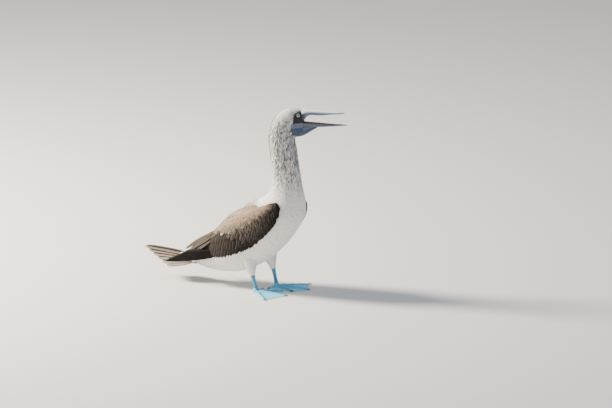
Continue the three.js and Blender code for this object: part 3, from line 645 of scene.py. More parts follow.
class BoobyPlumage(bpy.types.PropertyGroup):
    """Sizes and colours of the feathers."""

    body_spacing: length_property("Body spacing", "Distance between the roots of body feathers", 4.6)
    body_length: length_property("Body feather length", "Length of a breast feather", 25)
    body_half: length_property("Body feather half width", "Half the width of a breast feather", 6.6)
    neck_spacing: length_property("Neck spacing", "Distance between the roots of neck feathers", 3.7)
    neck_length: length_property("Neck feather length", "Length of a pointed neck feather", 15)
    neck_half: length_property("Neck feather half width", "Half the width of a neck feather", 2.2)
    covert_spacing: length_property("Covert spacing", "Distance between roots of small wing coverts", 4.6)
    white: colour_property("White", "Breast, belly, flanks and thighs", "#f4f2ee")
    cream: colour_property("Cream", "Feather bases and the pale tail", "#ddd3c0")
    streak: colour_property("Streak", "Dark middles of the neck feathers", "#2b2420")
    # Tan and Brown split the wing by height: partly the feathers' own colours, partly painted light on the
    # upper side and painted shade on the lower and front part. Brown is also used for the mantle's
    # blotches.
    tan: colour_property("Tan", "Upper side of the wing", "#927b63")
    brown: colour_property("Brown", "Lower and front part of the wing", "#15100c")
    fringe: colour_property("Fringe", "Pale edges of wing feathers", "#9c8d77")
    black: colour_property("Black", "Primaries", "#0b0908")


class BoobyBareParts(bpy.types.PropertyGroup):
    """Colours of skin, bill, eyes, feet and claws."""

    face: colour_property("Face", "Bare skin round the eye", "#171c22")
    gular: colour_property("Throat skin", "Bare skin of throat and pouch", "#364a60")
    gape: colour_property("Gape", "Skin in the corner of the mouth", "#3d1c20")
    bill: colour_property("Bill", "Sides of the bill", "#7789a0")
    culmen: colour_property("Culmen", "Ridge of the bill", "#e6eef2")
    iris: colour_property("Iris", "Ring of the eye", "#cbc59c")
    foot: colour_property("Foot", "Legs and toes", "#3697c0")
    # Web is paler than Foot: partly the web skin's own colour, partly painted light on the web's upward
    # face.
    web: colour_property("Web", "Skin between the toes", "#7ed3ee")
    claw: colour_property("Claw", "Horn of the claws", "#6f6c66")


class BoobyStage(bpy.types.PropertyGroup):
    """Floor and light."""

    floor: colour_property("Floor", "Matt floor", "#dcdad6")
    key_power: bpy.props.FloatProperty(
        name="Key", description="Power of the soft key light", default=430.0, min=0.0, unit="POWER")
    fill: bpy.props.FloatProperty(
        name="Fill", description="Strength of the pale surroundings", default=0.5, min=0.0)


def plumage_settings():
    return bpy.context.scene.booby_plumage


def bare_settings():
    return bpy.context.scene.booby_bare_parts


def shade(value):
    """A colour property as a row of three."""
    return np.array(value[:])


# Shades that go with one place each.
# Of these, the throat's blue-grey is painted shade on the front of the neck.
JAW_BAND, NECK_SKIN, THROAT_PAINTED_SHADE = tint("#6d5d62"), tint("#6d6259"), tint("#a9adb6")
PRIMARY_EDGE, TERTIAL, TERTIAL_EDGE = tint("#1f1a16"), tint("#4f453a"), tint("#7d7060")
TAIL_BROWN, TAIL_DUSK = tint("#75644f"), tint("#2b2119")
BILL_GROOVE, BILL_TIP, JAW_STAIN = tint("#37414c"), tint("#8a9298"), tint("#5d4f54")
PALATE, JAW_FLOOR, TONGUE = tint("#4d3f45"), tint("#57434a"), tint("#8a5658")
PUPIL, EYE_WHITE, IRIS_RIM = tint("#0b0b0d"), tint("#4b5560"), tint("#2a2f35")


# Pieces


def face_colours(points):
    """Bare face by its side view: slate round the eye and on the lores, paler under the culmen, dark in
    the gape line, blue-grey with a dull band on the lower jaw, and blue on the throat below it."""
    bare = bare_settings()
    over_gape = above_gape(points)
    colour = blend(shade(bare.face), shade(bare.bill), smooth(points[..., 2], 471, 479))
    colour = blend(colour, shade(bare.bill) * 0.75, smooth(-over_gape, 0.5, 2.5))
    colour = blend(colour, JAW_BAND, 0.6 * hump(over_gape, -7.5, 2.6))
    colour = blend(colour, shade(bare.gular), smooth(-over_gape, 11, 15))
    return blend(colour, shade(bare.gape), hump(over_gape, 0, 1.0) * smooth(points[..., 0], 76, 82))


# Depth of the skin under the feathers' outline: on the body, and how much more on the neck.
COAT_BODY, COAT_NECK = 1.7, 0.7
COAT_THIGH = 1.4
# The eye's bowl: where its rim stands and how high, how deep it is, and the folds round it.
RIM_AT, RIM_HIGH, BOWL_DEEP = 7.4, 0.9, 4.2
# How much wider than the bare face its colour runs, under the edge of the feathers.
FACE_UNDER = 3.0


class BOOBY_OT_skin(bpy.types.Operator):
    """One skin over body, neck, head and thighs, under the plumage by the coat's depth, bare at the face"""
    bl_idname = "booby.skin"
    bl_label = "Skin"

    def execute(self, context):
        """Rings of the trunk pushed along its normals: inward by the coat's depth under feathers, level
        on the bare face, sunk as a bowl at the eye with a raised rim, and creased along the gape."""
        t, angle = grid(
            np.concatenate([
                np.linspace(0, 13, 110), np.linspace(13.05, 15.9, 60), np.linspace(15.92, BILL_ROOT, 170),
            ]),
            turn(180, 360) + 1,
        )
        points, normals = with_normal(trunk, t, angle)
        bare = bare_share(points)
        plain = points + normals * self.depth(t, points, bare)[..., None]
        white = shade(plumage_settings().white)
        neck = blend(white, NECK_SKIN, smooth(t, 8.8, 10.8))
        wider = bare_share(points + np.array([FACE_UNDER, 0, 0]))
        forms = [shell(turned(plain), blend(neck, face_colours(points), wider))]
        for side in LEGS:
            share, around = grid(np.linspace(0, 1, 40), turn(48, 360))
            sunk = -COAT_THIGH * smooth(1 - share, 0.0, 0.2)
            forms.append(shell(over(thigh_surface(side), share, around, sunk), white))
        skin = skinlike("Bird skin, fine pores and folds", 0.55, 1.6, 0.25)
        put_mesh("skin", gathered(forms), skin, "bare_skin",
                 ("torso", "neck", "head", "thigh_left", "thigh_right"))
        return {"FINISHED"}

    def depth(self, t, points, bare):
        """Height of the skin over the trunk's outline: the sum of coat, eye bowl, gape crease and the
        sunk edge at the bill's root."""
        from_eye = np.hypot(points[..., 0] - EYE_X, points[..., 2] - EYE_Z)
        over_gape = above_gape(points)
        side = smooth(np.abs(points[..., 1]), 4, 8)
        coat = (-COAT_BODY - COAT_NECK * smooth(t, 8, 10)) * (1 - bare)
        folds = 0.35 * hump(from_eye, 10.2, 0.9) - 0.25 * hump(from_eye, 12.0, 0.8)
        bowl = RIM_HIGH * hump(from_eye, RIM_AT, 1.2) - BOWL_DEEP * smooth(-from_eye, -6.6, -4.8)
        lips = 0.6 * hump(over_gape, 2.2, 1.2) + 0.5 * hump(over_gape, -2.4, 1.4)
        corner = GAPE[0][0]
        crease = (1.3 * hump(over_gape, 0, 0.8) - lips) * smooth(points[..., 0], corner - 2, corner + 3)
        sunk = 0.8 * smooth(t, BILL_ROOT - 0.12, BILL_ROOT)
        return coat + side * bare * (bowl + folds) - side * crease - sunk


# Legs: heel, hock and top of the thigh, and the toes' headings in degrees.
LEGS = {
    "right": {
        "heel": (-11, -35), "hock": (-19.5, -38, 46), "top": (-40, -28, 108),
        "toes": {"outer": -48, "middle": -3, "inner": 27, "hind": 82},
    },
    "left": {
        "heel": (12, 35), "hock": (2, 35, 51.6), "top": (-14, 26, 116),
        "toes": {"outer": 40, "middle": 4, "inner": -25, "hind": -108},
    },
}
# Radius along the thigh and along the shank, by share of their length.
THIGH = ((0, 0.12, 0.3, 0.45, 0.6, 0.8, 0.94, 1), (12, 19, 22, 20.5, 17, 12, 8, 6.8))
SHANK = ((0, 0.12, 0.3, 0.7, 0.9, 1), (6.0, 6.2, 4.9, 4.6, 5.4, 6.0))
ANKLE = 11.0
# Toe length, half width at its root and at its tip.
TOES = {"outer": (85, 4.4, 2.5), "middle": (88, 4.6, 2.6), "inner": (64, 4.2, 2.4), "hind": (28, 3.6, 2.2)}
CLAW_LENGTH = 8.0
# Scutes down the shank's front, the web's thickness, and the dome over the heel.
SCUTES = 11
WEB_THICK = 1.1
HEEL_TALL, HEEL_WIDE = 13.5, 8.2
# Sideways, a thigh and a shank are narrower than from front to back.
THIGH_SQUASH, SHANK_SQUASH = 0.82, 0.9


def limb(start, end, s, angle, radius, squash=1.0):
    """Tube along a straight line: radius along the front, radius x squash to the side."""
    start, end = np.array(start, float), np.array(end, float)
    ahead = unit(end - start)
    front = unit(np.cross((0.0, 1.0, 0.0), ahead))
    across = np.cross(ahead, front)
    a = np.radians(angle)[..., None]
    aside = front * np.cos(a) + across * squash * np.sin(a)
    return start + (end - start) * s[..., None] + radius[..., None] * aside


def thigh_surface(side):
    """The feathered thigh from inside the body, share 0, to the hock, share 1."""
    leg = LEGS[side]

    def surface(s, angle):
        inside = np.clip(s, 0, 1)
        place = np.interp(inside, THIGH[0], np.arange(len(THIGH[0])))
        radius = catmull(np.array(THIGH[1])[:, None], place)[..., 0]
        return limb(leg["top"], leg["hock"], inside, -angle, radius, THIGH_SQUASH)

    return surface


def signed(angle):
    """An angle as -180 to 180."""
    return (angle + 180) % 360 - 180


def open_trunk(t, angle):
    """1 where the trunk is open, 0 under the folded wings."""
    share = wing_share(t, np.abs(signed(angle)))
    between = smooth(share, 0.08, 0.16) * smooth(-share, -0.94, -0.86)
    return 1 - between * smooth(t, 0.6, 0.9) * smooth(-t, -7.6, -7.3)


def mantle(t, angle):
    """1 on the back between the wings, 0 on the nape, the rump and below the wings' upper edges."""
    above = smooth(-wing_share(t, np.abs(angle)), -0.2, -0.1)
    return above * smooth(t, 2.2, 3.4) * smooth(-t, -7.6, -6.6)


def toward_tail(t, angle, run, least):
    """The section that a run in millimetres reaches from t along the trunk, toward the tail. No section
    counts as shorter than the least."""
    step = 0.1
    per_section = np.linalg.norm(trunk(t - step, angle) - trunk(t, angle), axis=-1) / step
    return t - run / np.maximum(per_section, least)


# Body feathers: size by section, as a share of the breast feather's, and height of root and tip over the
# trunk's outline. On the mantle most of them have a brown blotch.
BODY_SIZE = ((0, 3, 6, 9, 9.6), (1.25, 1.15, 1.0, 0.75, 0.62))
BODY_ROOT, BODY_TIP = -1.5, (0.2, 0.3)
BLOTCHED = 0.85


class BOOBY_OT_body_plumage(bpy.types.Operator):
    """White contour feathers of breast, belly, flanks and rump"""
    bl_idname = "booby.body_plumage"
    bl_label = "Body plumage"

    def execute(self, context):
        """Rounded vanes at scattered roots. Each lies toward the tail by its length, sunk at its root
        and level with the outline at its tip."""
        look = plumage_settings()
        rng = np.random.default_rng(7)
        white, cream, brown = shade(look.white), shade(look.cream), shade(look.brown) * 2.6

        def weight(t, angle):
            closer = 1.2 + 0.4 * smooth(t, 6, 8) - 0.6 * mantle(t, signed(angle))
            return open_trunk(t, angle) * smooth(t, 0.1, 0.25) * smooth(-t, -9.5, -8.6) * closer

        t, angle = scatter(trunk, (0.1, 9.6), (0, 360), look.body_spacing / MM, weight)
        angle = signed(angle)
        size = np.interp(t, *BODY_SIZE) * rng.uniform(0.88, 1.12, len(t))
        tip_t = np.maximum(toward_tail(t, angle, look.body_length / MM * size, 8), 0.0)
        half_width = np.interp(t, np.arange(len(SECTIONS)), SECTIONS[:, 4])
        tip_angle = angle + rng.normal(0, 0.8, len(t)) * 40 / half_width
        heights = (BODY_ROOT, rng.uniform(*BODY_TIP, len(t)))
        spine, up = laid(trunk, (t, angle), (tip_t, tip_angle), heights, SMALL_STATIONS, 1.0)
        blotch = mantle(t, angle) * (rng.random(len(t)) < BLOTCHED) * rng.uniform(0.7, 1.0, len(t))
        warm = rng.uniform(0, 1, len(t))[:, None]

        def paint(s, c):
            # Each feather is greyer cream toward its root and white at its tip: partly the base's own
            # cream, partly painted shade under the tip of the feather that overlaps it.
            plain = blend(cream * 0.8, white, smooth(s, 0.5, 1.0)) * (1 - 0.06 * warm)[..., None]
            middle = smooth(-np.abs(c), -1.4, -0.6) * smooth(-s, -1.05, -0.93)
            return blend(plain, brown, blotch[:, None] * middle)

        keratin = plumage("White contour feathers", 0.7, 0.85, 0.12, 0.25, 0.05)
        vanes("plumage_body", turned(spine), up, look.body_half / MM * size, CONTOUR, SMALL_STATIONS,
              THREE, paint, unwrapped(t, angle), keratin, "plumage_white",
              thick=0.2, camber=0.02, soft=0.3)
        return {"FINISHED"}


# Neck feathers: size by section, and how far their tips stand clear.
NECK_SIZE = ((7.8, 10, 13, 15, 17, 19), (1.3, 1.1, 1.0, 0.8, 0.55, 0.35))
NECK_STAND = ((7.8, 10, 13, 16, 19), (0.3, 0.9, 1.1, 0.8, 0.4))
# The two pieces: name, first and last section, and where the scatter's row starts.
NECK_PIECES = (("plumage_neck", 7.8, 13.8, 0.5), ("plumage_head", 13.8, 18.98, 0.3))
# Streaks: how far apart they run round the neck, the neck's radius, and the lengths of the long and the
# short wave that bend them, with the fall over which they lean by one streak.
STREAK_APART, NECK_RADIUS = 7.0, 33.0
LONG_WAVE, SHORT_WAVE, STREAK_LEAN = 23, 9.5, 70


def streaked(place, angle):
    """How dark a neck feather is at a place: a smooth step of a sine across the streaks, which two more
    sines of the height bend as they run down."""
    down, round_mm = place[:, 2], np.radians(angle) * NECK_RADIUS
    bend = 0.5 * np.sin(2 * np.pi * down / LONG_WAVE) + down / STREAK_LEAN
    bend = bend + 0.35 * np.sin(2 * np.pi * down / SHORT_WAVE + angle)
    return smooth(np.sin(2 * np.pi * (round_mm / STREAK_APART + bend)) + 0.1, -0.45, 0.55)


class BOOBY_OT_neck_plumage(bpy.types.Operator):
    """Narrow pointed feathers of neck and head, dark in the middle with pale ends"""
    bl_idname = "booby.neck_plumage"
    bl_label = "Neck and head plumage"

    def execute(self, context):
        """Lance-shaped vanes at scattered roots, closer and shorter toward the face. They lie down the
        neck, and their tips stand a little clear, so that each end throws its own shade."""
        look = plumage_settings()
        rng = np.random.default_rng(11)
        white, dark = shade(look.white), shade(look.streak)

        def weight(t, angle):
            feathered = 1 - bare_share(trunk(t, angle))
            return feathered * smooth(t, 7.7, 8.8) * (1 + 1.6 * smooth(t, 13.5, 17))

        for name, low, high, offset in NECK_PIECES:
            t, angle = scatter(trunk, (low, high), (0, 360), look.neck_spacing / MM, weight, offset)
            angle = signed(angle)
            size = np.interp(t, *NECK_SIZE) * rng.uniform(0.8, 1.2, len(t))
            tip_t = toward_tail(t, angle, look.neck_length / MM * size, 7)
            tip_angle = angle + rng.normal(0, 5.0, len(t))
            stand = np.interp(t, *NECK_STAND) * rng.uniform(0.2, 1.3, len(t))
            heights = (-1.8 * size - 0.2, stand)
            spine, up = laid(trunk, (t, angle), (tip_t, tip_angle), heights, LANCE_STATIONS)
            a = np.abs(angle)
            dusk = smooth(t, 7.9, 11.0) * (1 - 0.35 * smooth(t, 15, 17.5))
            # Less dark toward the back of the neck: partly the nape's own paler colour, partly painted
            # light on the nape.
            dusk = dusk * (0.22 + 0.78 * smooth(a, 20, 75))
            marks = (0.1 + 0.9 * streaked(trunk(end, angle), a) for end in (t, tip_t))
            first, last = ((dusk * mark * rng.uniform(0.8, 1.1, len(t)))[:, None] for mark in marks)
            # The front of the neck and the throat are blended toward a blue-grey that is painted shade.
            throat = (smooth(a, 110, 165) * smooth(t, 10, 13))[:, None]

            def paint(s, c):
                pale = blend(white, THROAT_PAINTED_SHADE, 0.65 * throat)
                amount = first * (1 - s) + last * s
                return blend(pale, dark, amount * (1 - 0.3 * np.abs(c)))

            title = "Lance feathers of the neck, dark shafts and pale ends"
            keratin = plumage(title, 0.7, 0.88, 0.1, 0.2, 0.1)
            vanes(name, turned(spine), up, look.neck_half / MM * np.maximum(size, 0.45), LANCE,
                  LANCE_STATIONS, THREE, paint, unwrapped(t, angle), keratin, "plumage_streaked",
                  thick=0.3, camber=0.12, soft=0.35)
        return {"FINISHED"}


# Thigh feathers: spacing, half width, length as a share of the thigh's, and height of root and tip.
THIGH_SPACING, THIGH_HALF, THIGH_RUN = 2.6, 4.2, 0.24
THIGH_ROOT, THIGH_TIP = -0.7, (0.2, 0.4)
# Tips that pass the hock hang straight down, by this much for the whole thigh's length.
THIGH_FALL = 60


class BOOBY_OT_thigh_plumage(bpy.types.Operator):
    """Soft white feathers of the thighs, down to the hocks"""
    bl_idname = "booby.thigh_plumage"
    bl_label = "Thigh plumage"

    def execute(self, context):
        """Rounded vanes on the thigh's tube, laid toward the hock and loose at their tips."""
        look = plumage_settings()
        rng = np.random.default_rng(5)
        white, cream = shade(look.white), shade(look.cream)
        keratin = plumage("Soft white thigh feathers", 0.7, 0.9, 0.15, 0.25, 0.05)
        for side in LEGS:
            surface = thigh_surface(side)
            s, angle = scatter(surface, (0.06, 0.97), (0, 360), THIGH_SPACING)
            size = np.interp(s, [0.2, 0.6, 1], [1.3, 1.0, 0.55]) * rng.uniform(0.85, 1.15, len(s))
            tip = np.minimum(s + THIGH_RUN * size, 1.06)
            tip_angle = angle + rng.normal(0, 8, len(s))
            heights = (THIGH_ROOT, rng.uniform(*THIGH_TIP, len(s)))
            ends = ((s, angle), (np.minimum(tip, 0.99), tip_angle))
            spine, up = laid(surface, *ends, heights, SMALL_STATIONS, 1.0)
            spine[..., 2] -= np.maximum(tip - 1.0, 0)[:, None] * SMALL_STATIONS * THIGH_FALL
            warm = rng.uniform(0, 1, len(s))[:, None]

            def paint(along, c):
                return blend(cream, white, smooth(along, 0.0, 0.5)) * (1 - 0.05 * warm)[..., None]

            vanes("plumage_thigh_" + side, spine, up, THIGH_HALF * size, CONTOUR, SMALL_STATIONS, THREE,
                  paint, (0.02 + 0.96 * angle / 360, 0.02 + 0.96 * s), keratin, "plumage_white",
                  thick=0.2, camber=0.02, soft=0.35)
        return {"FINISHED"}


# Rows of wing feathers: count, places of the tips from the rear feather to the front one (section,
# angle), how far forward and up the roots lie, half width, and lift over the row below.
WING_ROWS = (
    (28, ((0.7, 1.9, 3.3, 4.6), (76, 102, 109, 111)), (0.5, 1.3), (48, 38), 5.2, 0.5),
    (27, ((0.8, 2.0, 3.6, 5.0), (64, 90, 101, 106)), (0.55, 1.2), (42, 34), 5.2, 0.8),
    (25, ((1.0, 2.3, 3.9, 5.4), (52, 75, 90, 99)), (0.6, 1.1), (34, 28), 5.0, 1.1),
    (24, ((1.3, 2.7, 4.3, 5.9), (42, 62, 80, 93)), (0.7, 1.0), (26, 22), 5.0, 1.4),
    (22, ((1.9, 3.3, 4.8, 6.3), (35, 52, 69, 88)), (0.8, 0.9), (18, 17), 4.8, 1.7),
)
# Tertials: root (section, angle), tip in space, half width. Primaries: first and last root and tip.
TERTIALS = (
    ((1.7, 54), (-197, -34, 78), 8.5),
    ((1.75, 43), (-211, -26, 82), 8.2),
    ((1.8, 32), (-225, -15, 85), 7.8),
)
PRIMARY_COUNT = 7
PRIMARY_ROOTS, PRIMARY_TIPS = ((-130, -41, 98), (-128, -43, 82)), ((-213, -41.5, 84), (-273, -37, 53))
PRIMARY_HALF = 6.6
# Small coverts: size by section, half width, and the share of them with a white fleck.
COVERT_SIZE = ((2, 5, 7, 7.8), (1.5, 1.15, 0.8, 0.6))
COVERT_HALF = 5.0
FLECKED = 0.035
# Shoulder feathers: each lane's angle from the wing's upper edge, lift and count, the first and last
# section of their tips, and length and half width by section.
SHOULDER_LANES = ((10, 2.3, 18), (3, 2.6, 18), (-3, 2.9, 17))
SHOULDER_TIPS = (0.7, 5.2)
SHOULDER_LONG = ((0.7, 3.5, 5.2), (1.6, 1.15, 0.75))
SHOULDER_HALF = ((0.7, 2.5, 5.2), (8.4, 7.6, 4.8))
# How far the wing's flesh core reaches under the trunk's outline.
CORE_SUNK = 3.0


def straight(roots, tips, face, stations, bow):
    """Spines between points of space with a bow, height x sin(pi s), along the face's direction."""
    ahead = unit(tips - roots)[:, None]
    side = unit(np.cross(ahead, face[:, None]))
    up = np.broadcast_to(np.cross(side, ahead), (len(roots), len(stations), 3))
    up = up * np.sign((up * face[:, None]).sum(-1, keepdims=True))
    s = stations[None, :, None]
    return roots[:, None] + (tips - roots)[:, None] * s + up * bow * np.sin(np.pi * s), up


class BOOBY_OT_wings(bpy.types.Operator):
    """Folded wings: padded core, coverts and shoulder feathers, secondaries, tertials and primaries"""
    bl_idname = "booby.wings"
    bl_label = "Wings"

    def execute(self, context):
        """The core is a closed plate over the trunk. Rows of vanes lie on it from the secondaries up, each
        row over the last, small coverts fill the front, and long feathers run free past the body."""
        covert_skin = plumage("Brown wing coverts with pale fringes", 0.7, 0.75, 0.06, 0.2, 0.22)
        flight_skin = plumage("Dark flight feathers", 0.8, 0.66, 0.0, 0.2, 0.22)
        for side in FLANKS:
            self.core(side, covert_skin)
            self.rows(side, covert_skin)
            self.small_coverts(side, covert_skin)
            self.shoulder(side, covert_skin)
            self.flight(side, flight_skin)
        return {"FINISHED"}

    def tone(self, t, angle):
        """Wing colour by place: tan above and behind, dark brown below and in front. This is partly the
        feathers' own colours and partly painted light and shade: the upper side is painted lighter as if
        lit from above, and the lower side and the front near the wrist carry painted shade.
        """
        look = plumage_settings()
        # The share of brown is partly the lower feathers' own colour and partly painted shade on the side
        # that faces down.
        low = smooth(wing_share(t, np.abs(angle)), 0.16, 0.54) * (0.94 + 0.06 * smooth(t, 1.6, 4.0))
        return blend(shade(look.tan), shade(look.brown), np.maximum(low, 0.85 * smooth(t, 6.2, 7.5)))

    def unwrap(self, t, angle):
        """Place on the wing's own unwrap: sections across, angles upward."""
        return 0.02 + 0.96 * np.clip(t / 8, 0, 1), 0.02 + 0.96 * np.clip(angle / 120, 0, 1)

    def core(self, side, material):
        """The face of the wing between its edges, closed by a plate sunk in the trunk."""
        sign, half_round = FLANKS[side][0], 28
        share = np.concatenate([np.linspace(0, 1, half_round), np.linspace(1, 0, half_round)])
        t, share = grid(np.linspace(WING_REAR, WING_WRIST, 60), share)
        under = np.repeat([0.0, 1.0], half_round)[:, None]
        angle = np.interp(t, *WING_TOP) * (1 - share) + np.interp(t, *WING_LOW) * share
        face = wing_surface(side)(t, sign * angle)
        back = over(trunk, t, sign * (angle + wing_reach(side, t, angle)), np.full(t.shape, -CORE_SUNK))
        # The core takes the wing colour at 0.4: painted shade where it shows between the feathers and along
        # the wing's thick edge.
        form = shell(face * (1 - under) + back * under, self.tone(t, angle) * 0.4)
        nodes, maps = ("wing_" + side,), barb_map(form, (0, 2))
        put_mesh("wing_core_" + side, form, material, "plumage_brown", nodes, maps)

    def rows(self, side, material):
        """Rows from the secondaries up, each feather's tip and root along its row's own lines."""
        sign = FLANKS[side][0]
        rng = np.random.default_rng(21)
        groups = []
        for count, tips, ahead, raised, half, lift in WING_ROWS:
            u, keys = np.linspace(0, 1, count), np.linspace(0, 1, len(tips[0]))
            tip_t = np.interp(u, keys, tips[0]) + rng.normal(0, 0.03, count)
            tip_a = np.interp(u, keys, tips[1]) + rng.normal(0, 0.8, count)
            root_t, root_a = tip_t + np.interp(u, [0, 1], ahead), tip_a - np.interp(u, [0, 1], raised)
            sizes = [np.full(count, half), np.full(count, lift)]
            groups.append(np.stack([root_t, root_a, tip_t, tip_a, *sizes]))
        root_t, root_a, tip_t, tip_a, half, lift = np.hstack(groups)
        spine, up = laid(wing_surface(side), (root_t, sign * root_a), (tip_t, sign * tip_a),
                         (-0.6, lift + 0.2), LONG_STATIONS)
        plain = self.tone(tip_t, tip_a)[:, None]
        fringe = shade(plumage_settings().fringe)
        pale = rng.uniform(0.1, 0.5, len(half)) * (1 - 0.93 * smooth(wing_share(tip_t, tip_a), 0.15, 0.65))
        pale = (pale * (1 - 0.6 * smooth(tip_t, 4.5, 6.5)))[:, None]
        light = rng.uniform(0.8, 1.15, len(half))[:, None, None]

        def paint(s, c):
            edge = np.maximum(smooth(np.abs(c), 0.72, 1.0), smooth(s, 0.86, 0.99)) * smooth(s, 0.3, 0.7)
            return blend(blend(plain * light, plain * 0.55, 0.8 * hump(c, 0, 0.16)), fringe, edge * pale)

        vanes("wing_rows_" + side, spine, up, half, ROUND_TIP, LONG_STATIONS, SEVEN, paint,
              self.unwrap(root_t, root_a), material, "plumage_brown", thick=0.25, camber=0.03,
              tilt=-0.045 * sign, shaft=0.08)

    def small_coverts(self, side, material):
        """Small feathers over the front of the wing, laid back and down, the more so the lower they are."""
        look = plumage_settings()
        sign, surface = FLANKS[side][0], wing_surface(side)
        rng = np.random.default_rng(31)

        def weight(t, angle):
            share = wing_share(t, np.abs(angle))
            inside = smooth(share, -0.02, 0.03) * smooth(-share, -0.97, -0.9)
            return inside * smooth(t - 2.0 - 3.6 * share, 0.2, 0.8)

        t, angle = scatter(surface, (1.6, 7.75), (10 * sign, 112 * sign), look.covert_spacing / MM, weight)
        angle = np.abs(angle)
        share = wing_share(t, angle)
        size = np.interp(t, *COVERT_SIZE) * rng.uniform(0.85, 1.15, len(t))
        back = 0.62 * size
        drop = (4 + 12 * share) * size * (1 - 0.4 * smooth(t, 5.8, 7.4))
        drop = np.minimum(drop, np.maximum(np.interp(t - back, *WING_LOW) + 1 - angle, 0))
        lift = 2.1 - 0.9 * smooth(t, 6.6, 7.7) + rng.uniform(0, 0.12, len(t))
        ends = ((t, sign * angle), (t - back, sign * (angle + drop)))
        spine, up = laid(surface, *ends, (lift - 1.0, lift), SMALL_STATIONS)
        plain = self.tone(t - back / 2, angle + drop / 2)[:, None]
        fringe, white = shade(look.fringe), shade(look.white)
        pale = rng.uniform(0.15, 0.75, len(t)) * (1 - 0.93 * smooth(share, 0.2, 0.65))
        pale = (pale * (1 - 0.8 * smooth(t, 5.8, 7.2)))[:, None]
        fleck = (rng.random(len(t)) < FLECKED) * smooth(-share, -0.5, -0.3) * smooth(-t, -6.2, -5.0)
        light = rng.uniform(0.82, 1.14, len(t))[:, None, None]

        def paint(s, c):
            edge = np.maximum(smooth(np.abs(c), 0.6, 1.0), smooth(s, 0.78, 0.98)) * smooth(s, 0.4, 0.75)
            body = blend(plain * light, fringe, edge * pale * 0.8)
            return blend(body, white, 0.8 * fleck[:, None] * smooth(s, 0.88, 0.95) * smooth(-c, -0.6, 0.4))

        vanes("wing_coverts_" + side, spine, up, COVERT_HALF * size, ROUND_TIP, SMALL_STATIONS, FIVE, paint,
              self.unwrap(t, angle), material, "plumage_brown", thick=0.2, camber=0.03, tilt=-0.02 * sign)

    def shoulder(self, side, material):
        """Scapulars along the wing's upper edge: broad, fringed pale, between the mantle and the wing."""
        look = plumage_settings()
        sign = FLANKS[side][0]
        rng = np.random.default_rng(41)
        lanes = []
        for shift, lift, count in SHOULDER_LANES:
            tip_t = np.linspace(*SHOULDER_TIPS, count) + rng.normal(0, 0.05, count)
            tip_a = np.interp(tip_t, *WING_TOP) + shift + rng.normal(0, 1.5, count)
            lanes.append(np.stack([tip_t, tip_a, np.full(count, lift)]))
        tip_t, tip_a, lift = np.hstack(lanes)
        root_t = tip_t + np.interp(tip_t, *SHOULDER_LONG)
        root_a = np.interp(root_t, *WING_TOP) + (tip_a - np.interp(tip_t, *WING_TOP)) * 0.6 - 3
        spine, up = laid(wing_surface(side), (root_t, sign * root_a), (tip_t, sign * tip_a), (-0.2, lift),
                         LONG_STATIONS)
        plain = blend(self.tone(tip_t, tip_a), shade(look.fringe), 0.05)[:, None]
        fringe = blend(shade(look.fringe), shade(look.white), 0.4)
        pale = rng.uniform(0.2, 0.8, len(tip_t))[:, None]

        def paint(s, c):
            edge = np.maximum(smooth(np.abs(c), 0.66, 1.0), smooth(s, 0.84, 0.98)) * smooth(s, 0.3, 0.6)
            return blend(blend(plain, plain * 0.6, 0.7 * hump(c, 0, 0.14)), fringe, edge * pale)

        vanes("wing_shoulder_" + side, spine, up, np.interp(tip_t, *SHOULDER_HALF), ROUND_TIP,
              LONG_STATIONS, SEVEN, paint, self.unwrap(root_t, root_a), material, "plumage_brown",
              thick=0.25, camber=0.06, tilt=-0.03 * sign, shaft=0.08)

    def flight(self, side, material):
        """Primaries in one fan along the body's side, and tertials over them from the wing's rear."""
        sign, surface = FLANKS[side][0], wing_surface(side)
        mirror = np.array([1.0, -sign, 1.0])
        u = np.linspace(0, 1, PRIMARY_COUNT)[:, None]
        face = np.tile(np.array([0.08, -1.0, 0.1]) * mirror, (len(u), 1))
        roots, tips = (
            np.array(first) * mirror * (1 - u) + np.array(last) * mirror * u - face * 0.7 * u
            for first, last in (PRIMARY_ROOTS, PRIMARY_TIPS)
        )
        spine, up = straight(roots, tips, face, LONG_STATIONS, 1.5)
        black = shade(plumage_settings().black)

        def dark(s, c):
            return blend(black, PRIMARY_EDGE, 0.5 * smooth(np.abs(c), 0.8, 1.0) + 0.6 * hump(c, 0, 0.1))

        bake = (0.1 + 0.1 * u[:, 0], np.full(len(u), 0.5))
        vanes("wing_primaries_" + side, spine, up, PRIMARY_HALF, FLIGHT, LONG_STATIONS, SEVEN, dark, bake,
              material, "plumage_brown", thick=0.45, camber=0.08, tilt=0.05 * sign, shaft=0.35)
        roots = np.array([surface(np.array([t]), np.array([sign * a]))[0] for (t, a), _, _ in TERTIALS])
        tips = np.array([tip for _, tip, _ in TERTIALS]) * mirror
        half = np.array([width for _, _, width in TERTIALS])
        face = np.tile(unit(np.array([-0.15, -0.72, 0.68]) * mirror), (len(tips), 1))
        roots = roots + face * (1.2 + 1.1 * np.arange(len(tips))[:, None])
        spine, up = straight(roots, tips, face, LONG_STATIONS, 3.0)

        def fringed(s, c):
            body = blend(TERTIAL, TERTIAL * 0.5, hump(c, 0, 0.12))
            return blend(body, TERTIAL_EDGE, 0.8 * smooth(np.abs(c), 0.7, 1.0))

        bake = (0.4 + 0.1 * np.arange(len(tips)), np.full(len(tips), 0.5))
        vanes("wing_tertials_" + side, spine, up, half, FLIGHT, LONG_STATIONS, SEVEN, fringed, bake,
              material, "plumage_brown", thick=0.45, camber=0.12, tilt=0.04 * sign, shaft=0.3)


